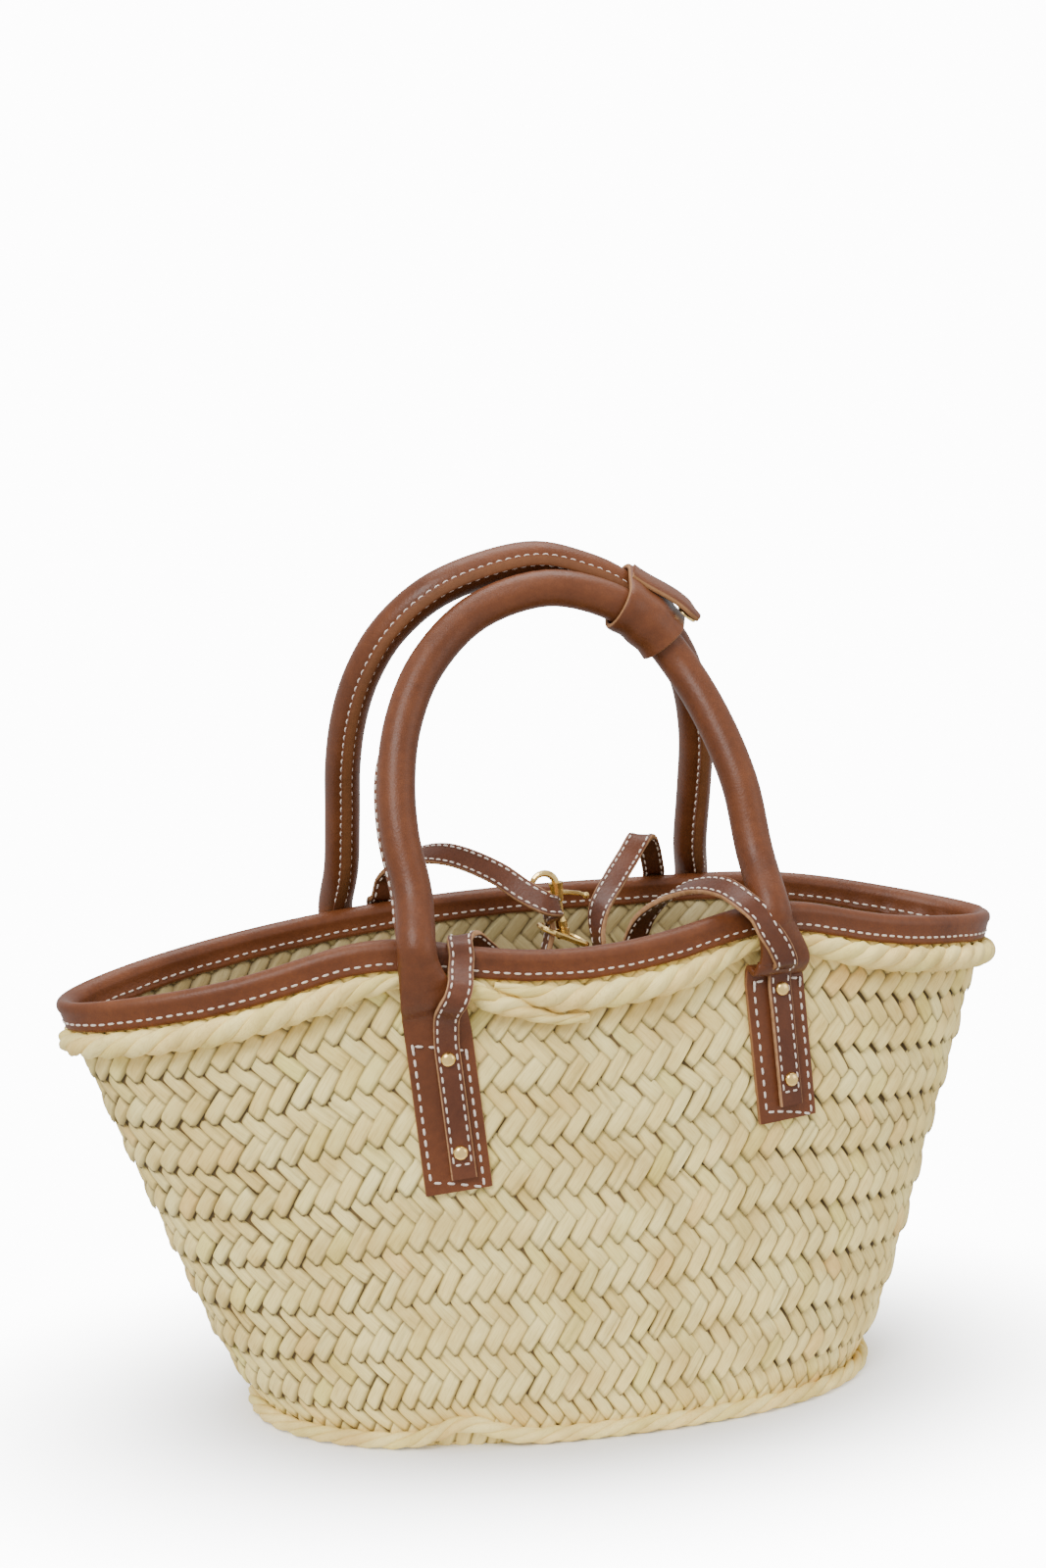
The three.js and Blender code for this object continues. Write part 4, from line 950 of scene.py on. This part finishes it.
# The tabs, with the strap's place on each, the side that it leaves by and how early
TABS = {
    "front_left": dict(
        x=-53.3, drop=31, foot=5.2, face=1, leg_x=-58.5, strap=2.6, beside=13.4, early=2,
    ),
    "front_right": dict(x=64.3, drop=22, foot=4, face=1, leg_x=59, strap=0, beside=-12.8, early=1),
    "back_left": dict(x=-64, drop=27, foot=3, face=-1, leg_x=-66, strap=0, beside=12.8, early=1),
    "back_right": dict(x=67, drop=27, foot=-2, face=-1, leg_x=68, strap=0, beside=-13.8, early=1),
}


def wall_frame(x, drop, out, face):
    angle = angle_at(x, drop, face)
    point = skin(angle, drop, out)
    across = unit(skin(angle + 0.01, drop, out) - point)
    up = unit(skin(angle, drop - 1, out) - point)
    return point, across, unit(np.cross(across, up))


def leg_drop(tab, row):
    if "cord" not in row:
        return tab["drop"] + TAB_LENGTH * (1 - row["tab"])
    return CORD_DROP - row["cord"] * RIM_CORD_DIAMETER / 2


def leg_x(tab, row):
    if "cord" not in row:
        return tab["x"] + tab["foot"] * (1 - row["tab"])
    return mix(tab["leg_x"], tab["x"], float(smooth(leg_drop(tab, row), 0, tab["drop"])))


def leg_thickness(row):
    return mix(TAB_LEATHER, HANDLE_DIAMETER, row["round"])


def leg_station(tab, row):
    width = mix(TAB_WIDTH, HANDLE_DIAMETER, row["width"]) / 2
    thickness = leg_thickness(row) / 2
    out = TAB_SEAT + thickness + LEG_FACE * row["over"]
    point, across, _ = wall_frame(leg_x(tab, row), leg_drop(tab, row), out, tab["face"])
    corner = mix(0.3, 1, float(smooth(row["width"], 0, 0.7)))
    return dict(centre=point, across=across, width=width, thickness=thickness, corner=corner)


def arch_station(row, half_span, rise, meet_y, face):
    x, z, toward = row
    x, z = x * half_span, RIM_HEIGHT + z * rise
    radius = HANDLE_DIAMETER / 2
    rim_y = skin(angle_at(x, 0, face), 0, BINDING_FACE + CLEARANCE + radius)[1]
    centre = np.array([x, mix(rim_y, meet_y, toward), z])
    return dict(centre=centre, across=None, width=radius, thickness=radius, corner=1)


def handle_parts(left, right, arch, half_span, rise, meet_y, face):
    stations = [leg_station(left, row) for row in LEG_ROWS]
    stations += [arch_station(row, half_span, rise, meet_y, face) for row in arch]
    stations += [leg_station(right, row) for row in LEG_ROWS[::-1]]
    return stations, Curve([s["centre"] for s in stations])


FRONT_HANDLE = handle_parts(
    TABS["front_left"], TABS["front_right"], FRONT_ARCH,
    FRONT_HANDLE_HALF_SPAN, FRONT_HANDLE_RISE, HANDLES_MEET_Y - HANDLE_SPACING / 2, 1,
)
BACK_HANDLE = handle_parts(
    TABS["back_left"], TABS["back_right"], BACK_ARCH,
    BACK_HANDLE_HALF_SPAN, BACK_HANDLE_RISE, HANDLES_MEET_Y + HANDLE_SPACING / 2, -1,
)


# Frames along a handle: its middle line, the directions of its section and its sizes at each step
def handle_frames(parts, substeps=6):
    stations, curve = parts
    last = len(stations) - 1
    acrosses = []
    across = stations[0]["across"]
    for i, station in enumerate(stations):
        along = curve.tangent(i / last)
        if station["across"] is not None:
            across = station["across"] * np.sign(np.dot(station["across"], across))
        across = unit(across - np.dot(across, along) * along)
        acrosses.append(across)
    rows = []
    for k in range(last * substeps + 1):
        t = k / (last * substeps)
        i = min(int(t * last), last - 1)
        share = t * last - i
        a, b = stations[i], stations[i + 1]
        along = curve.tangent(t)
        across = mix(acrosses[i], acrosses[i + 1], share)
        across = unit(across - np.dot(across, along) * along)
        row = {key: mix(a[key], b[key], share) for key in ("width", "thickness", "corner")}
        row.update(centre=curve.point(t), across=across, along=along, through=np.cross(along, across), t=t * last)
        rows.append(row)
    return rows


# The seam's narrow flange along the rolled part, with its two raw edges and a row of stitches each
def make_seam(build, thread, rows, inward, span, seam_reach):
    last = rows[-1]["t"]
    keep = [row for row in rows if span[0] <= row["t"] <= last - span[1]]
    fade_steps, root = 14, HANDLE_DIAMETER / 2 - SEAM_ROOT
    half = SEAM_THICKNESS / 2
    flange, line = [], []
    for i, row in enumerate(keep):
        hint = np.asarray(inward(row), float)
        out = unit(hint - np.dot(hint, row["along"]) * row["along"])
        side = np.cross(row["along"], out)
        fade = float(smooth(min(i / fade_steps, (len(keep) - 1 - i) / fade_steps), 0, 1))
        reach = root + seam_reach * fade
        upper = [(root - 0.4, half), (reach - 0.3, half), (reach, 0.6 * half)]
        shape = upper + [(a, -b) for a, b in upper[::-1]]
        flange.append([row["centre"] + a * out + b * side for a, b in shape])
        if fade >= 0.7:
            line.append((row["centre"] + (root + 0.62 * seam_reach) * out, half * side))
    edge = np.array([0, 0.03, 0.2, 0.2, 0.03, 0])
    build.tube(np.array(flange), None, together(0.5, 0.5, np.tile(edge, (len(flange), 1))))
    for sign in (1, -1):
        points, outs = [p + sign * s for p, s in line], [sign * unit(s) for _, s in line]
        stitch_line(thread, points, outs, SEAM_PITCH, width=0.7)


# A point on a tab's face with the way out of it, raised where the leg begins to swell
def on_tab(tab, across_share, tab_share):
    row = dict(tab=tab_share)
    swell = 0.55 * float(smooth(tab_share, 0.84, 0.96))
    out = TAB_SEAT + TAB_LEATHER + swell
    x = leg_x(tab, row) + across_share * TAB_WIDTH
    point, _, through = wall_frame(x, leg_drop(tab, row), out, tab["face"])
    return point, through


# A tab's stitched rectangle with a bar tack at each upper corner
def stitch_tab(thread, tab):
    side, low, high = TAB_STITCH_SIDE, TAB_STITCH_LOW, TAB_STITCH_HIGH
    corners = [(-side, low), (side, low), (side, high), (-side, high), (-side, low)]
    for (u0, v0), (u1, v1) in zip(corners, corners[1:]):
        samples = [on_tab(tab, mix(u0, u1, k / 24), mix(v0, v1, k / 24)) for k in range(25)]
        stitch_line(thread, *zip(*samples), TAB_PITCH, width=0.85)
    for u in (-side, side):
        tack = [on_tab(tab, u, mix(TACK_LOW, TACK_HIGH, k / 4)) for k in range(5)]
        stitch_line(thread, *zip(*tack), TACK_PITCH, length=2.5, width=0.95, height=0.45)


def make_handle(name, parts, node_name, tabs, inward, seam_span, seam_reach):
    rows = handle_frames(parts)
    sides = 48
    keys = ("centre", "across", "through", "width", "thickness", "corner")
    rings = np.array([ring_points(*(row[key] for key in keys), sides) for row in rows])
    gone = path_lengths(np.array([row["centre"] for row in rows]))
    last = rows[-1]["t"]
    legs = len(LEG_ROWS) - 3
    flat = np.array([max(0.0, 1 - min(row["t"], last - row["t"]) / legs) for row in rows])
    edge_side = np.abs(np.cos((np.arange(sides) + 0.5) / sides * 2 * math.pi))
    raw = smooth(edge_side, 0.93, 0.99)[None] * smooth(flat, 0.45, 0.7)[:, None] * 0.75
    tints = together(0.5 + 0.3 * np.sin(gone / 37)[:, None], 0.5, raw)
    build = Build().tube(rings, None, tints)
    thread = Build()
    make_seam(build, thread, rows, inward, seam_span, seam_reach)
    piece = build.object(name, LEATHER, angle=45)
    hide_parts(node_name)
    for tab in tabs:
        stitch_tab(thread, tab)
    piece = thread.object(name + "_stitches", THREAD)


# The closure straps up a tab: the row's place as on a leg, then how round the leather below is,
# how far over the rope, and how far the strap has moved to its place beside the leg
STRAP_CLIMB = [
    (dict(tab=0.1), 0, 0, 0),
    (dict(tab=0.35), 0, 0, 0),
    (dict(tab=0.7), 0, 0.02, 0),
    (dict(tab=0.93), 0, 0.03, 0),
    (dict(tab=1), 0.06, 0.12, 0.03),
    (dict(cord=-1.7), 0.12, 0.66, 0.15),
    (dict(cord=-0.8), 0.26, 1.19, 0.35),
    (dict(cord=0), 0.4, 1.22, 0.62),
    (dict(cord=0.9), 0.1, 1.45, 0.98),
    (dict(cord=1.7), 0, 0.62, 1),
]

# The free stretches: the share of the way, the place beside the straight line in STRAP_SLACK, and
# the way in which the strap's width points
LEFT_FRONT_FALL = [
    (0.1, (0, 0.05, -0.03), (0.95, 0.1, 0.3)), (0.25, (0, 0, -0.25), (0.8, 0.15, 0.6)),
    (0.5, (0, 0.25, -0.68), (0.5, 0.3, 0.8)), (0.75, (-0.07, 0.2, -0.94), (0.25, 0.7, 0.6)),
    (0.92, (-0.02, 0.1, -0.6), (0.1, 1, 0.1)), (1, (0, 0, 0), (0, 1, 0)),
]
LEFT_BACK_CLIMB = [
    (0.03, (0.05, -0.08, 0.25), (0, 1, 0.1)), (0.08, (0.2, -0.75, 0.5), (0.1, 0.9, 0.4)),
    (0.14, (0.145, -1.05, 0.56), (0.4, 0.5, 0.7)), (0.25, (0.08, -1.05, 0.72), (0.55, 0.25, 0.75)),
    (0.4, (0.08, -0.9, 0.95), (0.5, 0.25, 0.8)), (0.62, (-0.08, -0.4, 1.1), (0.5, 0.3, 0.8)),
    (0.82, (-0.12, 0, 0.8), (0.8, 0.1, 0.5)), (0.95, (-0.05, 0.02, 0.36), (0.95, 0, 0.2)),
]
RIGHT_FRONT_FALL = [
    (0.1, (-0.04, -0.14, 0.4), (1, 0.1, 0.3)), (0.26, (-0.04, -0.1, 0.9), (0.85, 0.15, 0.55)),
    (0.5, (-0.06, 0.1, 1.2), (0.85, 0.2, 0.5)), (0.72, (-0.14, 0.2, 1.04), (1, 0.1, 0.1)),
    (0.86, (-0.04, 0.16, 0.66), (0.9, -0.25, 0)), (1, (0, 0, 0), (0.3, -1, 0)),
]
RIGHT_BACK_CLIMB = [
    (0.05, (-0.3, 0, 0.5), (0.2, -1, 0)), (0.12, (-0.5, -0.1, 0.9), (0.2, -1, 0)),
    (0.25, (-0.6, -0.2, 1.1), (0.5, -0.8, -0.2)), (0.45, (-0.5, -0.25, 1.15), (0.8, -0.4, -0.4)),
    (0.7, (-0.43, -0.4, 1.05), (0.9, -0.2, -0.3)), (0.86, (-0.32, -0.45, 1.05), (1, 0, -0.1)),
    (0.94, (-0.18, -0.3, 0.75), (1, 0, 0)),
]


def on_leg(tab, row, roundness, over, shift, cross_x):
    height = mix(TAB_LEATHER, HANDLE_DIAMETER, roundness)
    out = TAB_SEAT + height + CLEARANCE + STRAP_LEATHER / 2 + LEG_FACE * over
    x = mix(leg_x(tab, row) + tab["strap"], cross_x, shift)
    point, across, _ = wall_frame(x, leg_drop(tab, row), out, tab["face"])
    return point, across * tab["face"]


# Up the tab and over the rim beside the leg
def strap_climb(tab):
    cross_x = tab["leg_x"] + tab["beside"]
    rows = []
    for row, roundness, over, shift in STRAP_CLIMB:
        shift = 1 - (1 - shift) ** tab["early"]
        rows.append(on_leg(tab, row, roundness, over, shift, cross_x))
    angle = angle_at(cross_x, 0, tab["face"])
    reach = BEAD_RADIUS + STRAP_EASE + STRAP_LEATHER / 2
    for turn in (5, 45, 90):
        out = reach * math.cos(math.radians(turn)) - WALL / 2
        drop = BEAD_RADIUS - reach * math.sin(math.radians(turn))
        rows.append((skin(angle, drop, out), np.array([1.0, 0, 0])))
    return rows


def strap_free(rows, start, end):
    return [
        (mix(start, end, way) + np.array(shift) * STRAP_SLACK, unit(wide)) for way, shift, wide in rows
    ]


# The right strap rises in front of its leg's left half and then turns in over the rim
LEG_CROSSING = [(6, -0.6), (7, -1.6), (8, -3.0), (9, -4.6), (10, -6.2)]


def strap_before_leg(tab):
    rows = [on_leg(tab, row, roundness, over, 0, 0) for row, roundness, over, _ in STRAP_CLIMB[:5]]
    for k, aside in LEG_CROSSING:
        leg = leg_station(tab, LEG_ROWS[k])
        bulge = leg["thickness"] * math.sqrt(max(1 - (aside / leg["width"]) ** 2, 0.2))
        proud = bulge + CLEARANCE + STRAP_LEATHER / 2 + 0.5
        rows.append((leg["centre"] + np.array([aside, -proud, 0]), leg["across"]))
    return rows


def strap_stations(first, second, middle, fall, climb):
    falling = strap_free(fall, first[-1][0], middle)
    climbing = strap_free(climb, middle, second[-1][0])
    return [*first, *falling, *climbing, *second[::-1]]


def make_strap(name, node_name, stations):
    curve = Curve([centre for centre, _ in stations])
    last = len(stations) - 1
    substeps = 8
    half, thick, bevel = STRAP_WIDTH / 2, STRAP_LEATHER / 2, STRAP_BEVEL
    quarter = [
        (half, thick - bevel), (half - bevel * 0.4, thick - bevel * 0.3), (half - bevel, thick),
        (half - STITCH_INSET, thick - 0.08), (half * 0.4, thick),
    ]
    upper = quarter + [(-u, v) for u, v in quarter[::-1]]
    lower = [(-u, -v) for u, v in upper]
    shape = lower[-1:] + upper + lower[:-1]
    raw = np.array([1.0 if abs(abs(u) - half) < bevel * 0.5 else 0.0 for u, _ in shape])
    rings, normals = [], {1: [], -1: []}
    lines = {(side, face): [] for side in (1, -1) for face in (1, -1)}
    for k in range(last * substeps + 1):
        t = k / (last * substeps)
        i = min(int(t * last), last - 1)
        share = t * last - i
        along = curve.tangent(t)
        across = mix(stations[i][1], stations[i + 1][1], share)
        across = unit(across - np.dot(across, along) * along)
        through = np.cross(along, across)
        centre = curve.point(t)
        rings.append([centre + u * across + v * through for u, v in shape])
        for face in (1, -1):
            normals[face].append(face * through)
            for side in (1, -1):
                aside = side * (half - STITCH_INSET) * across
                lines[side, face].append(centre + aside + face * (thick - 0.05) * through)
    rings = np.array(rings)
    gone = np.arange(len(rings))
    tints = together(0.5 + 0.3 * np.sin(gone / 23)[:, None], 0.5, raw[None])
    piece = Build().tube(rings, None, tints).object(name, STRAP, angle=50)
    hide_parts(node_name)
    thread = Build()
    for (side, face), line in lines.items():
        stitch_line(thread, line[3:-3], normals[face][3:-3], SEAM_PITCH, width=0.65, height=0.3)
    for foot in (3, len(rings) - 4):
        for face in (1, -1):
            ends = lines[1, face][foot], lines[-1, face][foot]
            across_foot = [mix(*ends, k / 6) for k in range(7)]
            stitch_line(thread, across_foot, [normals[face][foot]] * 7, FOOT_PITCH)
    piece = thread.object(name + "_stitches", THREAD)


# The keeper round both handles at the right shoulder
def shoulder(parts, measure):
    samples = [parts[1].point(0.5 + i / 600 * 0.3) for i in range(601)]
    return min(samples, key=measure)


def keeper_frame(share):
    x = HANDLES_MEET_X + (share - 0.5) * KEEPER_LENGTH * SHOULDER_SLOPE

    def on_front(at):
        return shoulder(FRONT_HANDLE, lambda p: abs(p[0] - at))

    front = on_front(x)
    ahead = unit(on_front(x + 2) - on_front(x - 2))
    back = shoulder(BACK_HANDLE, lambda p: abs(np.dot(p - front, ahead)))
    side = unit(back - front)
    return front, back, ahead, side, unit(np.cross(ahead, side))


def keeper_ring(frame_at, away, sides=20):
    front, back, _, side, up = frame_at
    radius = HANDLE_DIAMETER / 2 + away
    points = []
    for centre, first in ((back, 0.0), (front, math.pi)):
        for i in range(sides):
            turn = i / (sides - 1) * math.pi - math.pi / 2 + first
            points.append(centre + radius * (math.cos(turn) * side + math.sin(turn) * up))
    return points


def make_keeper():
    steps, wave, lip = 13, 0.25, 0.35
    outside = KEEPER_SLACK + KEEPER_LEATHER
    low, high = KEEPER_SLACK + lip, outside - 0.3
    frames = [keeper_frame(i / (steps - 1)) for i in range(steps)]
    outer = [keeper_ring(f, outside + wave * math.sin(i * 1.1)) for i, f in enumerate(frames)]
    inner = [keeper_ring(f, KEEPER_SLACK) for f in frames[::-1]]
    near = np.array([keeper_ring(frames[0], away) for away in (low, high)]) - lip * frames[0][2]
    far = np.array([keeper_ring(frames[-1], away) for away in (high, low)]) + lip * frames[-1][2]
    rings = np.array([*near, *outer, *far, *inner])
    raw = np.zeros(len(rings))
    raw[[0, 1, steps + 2, steps + 3]] = 1.0
    tints = together(0.6, 0.5, raw[:, None] * np.ones(rings.shape[:2]))
    build = Build().grids(rings, None, tints, loop_u=True, loop_v=True, flip=True)
    piece = build.object("keeper_leather", LEATHER, angle=50)
    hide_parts("handle_keeper")


# The flap's line on the keeper's upper side: it leaves the sleeve and stands off over the stud
def flap_point(share):
    front, back, ahead, side, up = keeper_frame(0.5)
    sign = 1 if up[2] > 0 else -1
    surface = HANDLE_DIAMETER / 2 + KEEPER_SLACK + KEEPER_LEATHER / 2
    lift = surface + FLAP_ROOT + FLAP_LIFT * float(smooth(share, 0, 0.7))
    reach = -0.5 * KEEPER_LENGTH + share * KEEPER_FLAP_LENGTH
    return mix(front, back, 0.8) + reach * ahead + sign * lift * up, side, sign * up


# The flap's section in half widths and half thicknesses
FLAP_SECTION = [
    (1, -0.6), (1, 0.6), (0.94, 1), (0.4, 1), (-0.4, 1), (-0.94, 1),
    (-1, 0.6), (-1, -0.6), (-0.94, -1), (-0.4, -1), (0.4, -1), (0.94, -1),
]


def make_flap():
    steps = 25
    half = KEEPER_LEATHER / 2
    rings = []
    for i in range(steps):
        share = i / (steps - 1)
        centre, side, up = flap_point(share)
        width = KEEPER_FLAP_WIDTH / 2 * mix(1, FLAP_TIP, float(smooth(share, 0.8, 1)))
        width = width * (1 if share < 0.97 else 0.9)
        curl = -0.9 * float(smooth(share, 0.75, 1))
        shape = []
        for u, v in FLAP_SECTION:
            arch = -0.5 * u * u
            shape.append(centre + u * width * side + (v * half + arch + curl) * up)
        rings.append(shape)
    raw = np.array([1.0, 1.0, 0, 0, 0, 0, 1.0, 1.0, 0, 0, 0, 0])
    tints = together(0.7, 0.5, raw[None] * np.ones((steps, 1)))
    build = Build().tube(np.array(rings), None, tints)
    piece = build.object("keeper_flap_leather", LEATHER, angle=50)
    centre, _, up = flap_point(0.86)
    build = Build()
    base = centre - up * (half + CLEARANCE + STUD_HEIGHT)
    dome(build, base, up, STUD_DIAMETER / 2, STUD_HEIGHT * 0.9)
    piece = build.object("keeper_stud_brass", BRASS)
    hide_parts("keeper_stud")


# Domed rivets through strap and tab
def dome(build, centre, through, radius, height, sides=28):
    side = unit(np.cross(through, [0.3, 0.5, 0.8]))
    other = np.cross(through, side)
    turn = np.linspace(0, 2 * math.pi, sides, endpoint=False)
    rings = []
    for share in np.linspace(0, 1, 9):
        r = radius * math.cos(share * math.pi / 2) ** 0.8
        h = height * math.sin(share * math.pi / 2)
        round_it = np.cos(turn)[:, None] * side + np.sin(turn)[:, None] * other
        rings.append(centre + through * h + r * round_it)
    build.tube(np.array([centre - through * 0.35 + (rings[0] - centre), *rings]))


def make_rivets():
    for name, tab in TABS.items():
        for level, share in (("upper", RIVET_UPPER), ("lower", RIVET_LOWER)):
            row = dict(tab=share)
            x = leg_x(tab, row) + tab["strap"]
            point, _, through = wall_frame(x, leg_drop(tab, row), STRAP_FACE, tab["face"])
            build = Build()
            dome(build, point, through, RIVET_DIAMETER / 2, RIVET_HEIGHT)
            piece = build.object(f"brass_rivet_{name}_{level}", BRASS)
            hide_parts(f"rivet_{name}_{level}")


LEFT_TILT = math.radians(RING_TILT)
LEAN = math.radians(CLASP_LEAN)


def clasp_place(points):
    points = np.asarray(points, float)
    x, y, z = points[..., 0], points[..., 1], points[..., 2]
    c, s = math.cos(-LEAN), math.sin(-LEAN)
    return np.stack([CLASP_X + x * c + z * s, CLASP_Y + y, CLASP_Z - x * s + z * c], -1)


def ring_window():
    x = -(RING_LENGTH / 2 - RING_WIRE + COLLAR_DIAMETER / 2) / 2
    return clasp_place([x * math.cos(LEFT_TILT), 0, -x * math.sin(LEFT_TILT)])


# The front seam faces the back handle, and turns to the left down the left leg
def front_seam(row):
    x, _, z = row["centre"]
    low = float(smooth(-z, -250, -215)) * float(smooth(-x, 20, 50))
    return (-0.85 * low, 1 - 0.45 * low, 0)


def back_seam(row):
    return (0, -1, 0)


make_basket()
make_rim_rope()
make_base_rope()
make_binding()
make_handle(
    "handle_front_leather", FRONT_HANDLE, "handle_front",
    (TABS["front_left"], TABS["front_right"]), front_seam, (9, 12), FRONT_SEAM_REACH,
)
make_handle(
    "handle_back_leather", BACK_HANDLE, "handle_back",
    (TABS["back_left"], TABS["back_right"]), back_seam, (9, 9), SEAM_REACH,
)
make_strap("strap_left_leather", "closure_strap_left", strap_stations(
    strap_climb(TABS["front_left"]), strap_climb(TABS["back_left"]),
    ring_window(), LEFT_FRONT_FALL, LEFT_BACK_CLIMB,
))
# The right strap's lowest place, inside the basket
low_place = np.array([CLASP_X + 20, CLASP_Y - 3, CLASP_Z - 24.0])
make_strap("strap_right_leather", "closure_strap_right", strap_stations(
    strap_before_leg(TABS["front_right"]), strap_climb(TABS["back_right"]),
    low_place, RIGHT_FRONT_FALL, RIGHT_BACK_CLIMB,
))
make_keeper()
make_flap()
make_rivets()
for name in ("clasp_eye", "clasp_hook", "clasp_lever"):
    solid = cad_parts[name]
    for socket in solid.material_slots:
        socket.material = BRASS

# The floor, the light and the camera
scene = bpy.context.scene
floor_mesh = bpy.data.meshes.new("floor")
floor_mesh.from_pydata([(-4, -4, 0), (4, -4, 0), (4, 4, 0), (-4, 4, 0)], [], [(0, 1, 2, 3)])
floor_mesh.materials.append(floor_material())
floor = bpy.data.objects.new("floor", floor_mesh)
scene.collection.objects.link(floor)

world = scene.world or bpy.data.worlds.new("studio")
scene.world = world
world.use_nodes = True
nodes, links = world.node_tree.nodes, world.node_tree.links
background = next(n for n in nodes if n.type == "BACKGROUND")
background.inputs["Color"].default_value = (0.98, 0.985, 1.0, 1)
background.inputs["Strength"].default_value = AMBIENT
backdrop = nodes.new("ShaderNodeBackground")
backdrop.inputs["Color"].default_value = (1, 1, 1, 1)
backdrop.inputs["Strength"].default_value = BACKDROP
either = nodes.new("ShaderNodeMixShader")
links.new(nodes.new("ShaderNodeLightPath").outputs["Is Camera Ray"], either.inputs[0])
links.new(background.outputs[0], either.inputs[1])
links.new(backdrop.outputs[0], either.inputs[2])
surface = next(n for n in nodes if n.type == "OUTPUT_WORLD").inputs["Surface"]
links.new(either.outputs[0], surface)


def area_light(name, place, target, size, power):
    data = bpy.data.lights.new(name, "AREA")
    data.shape = "RECTANGLE"
    data.size, data.size_y = size
    data.energy = power
    light = bpy.data.objects.new(name, data)
    light.location = place
    light.rotation_euler = (Vector(target) - Vector(place)).to_track_quat("-Z", "Y").to_euler()
    scene.collection.objects.link(light)


area_light("key", (-0.75, -0.9, 1.2), (0, 0, 0.12), (0.7, 0.7), 21)
area_light("fill", (1.3, -0.9, 0.7), (0, 0, 0.12), (0.9, 0.9), 5)
area_light("top", (0.1, 0.3, 1.4), (0, 0, 0.1), (1.0, 0.8), 15)

camera_data = bpy.data.cameras.new("camera")
camera_data.sensor_fit = "VERTICAL"
camera_data.sensor_height = CAMERA_SENSOR
camera_data.lens = CAMERA_LENS
camera = bpy.data.objects.new("camera", camera_data)
camera.location = CAMERA_PLACE
look = (Vector(CAMERA_TARGET) - camera.location).to_track_quat("-Z", "Y")
camera.rotation_mode = "QUATERNION"
camera.rotation_quaternion = look @ Quaternion((0, 0, 1), CAMERA_ROLL)
scene.collection.objects.link(camera)
scene.camera = camera
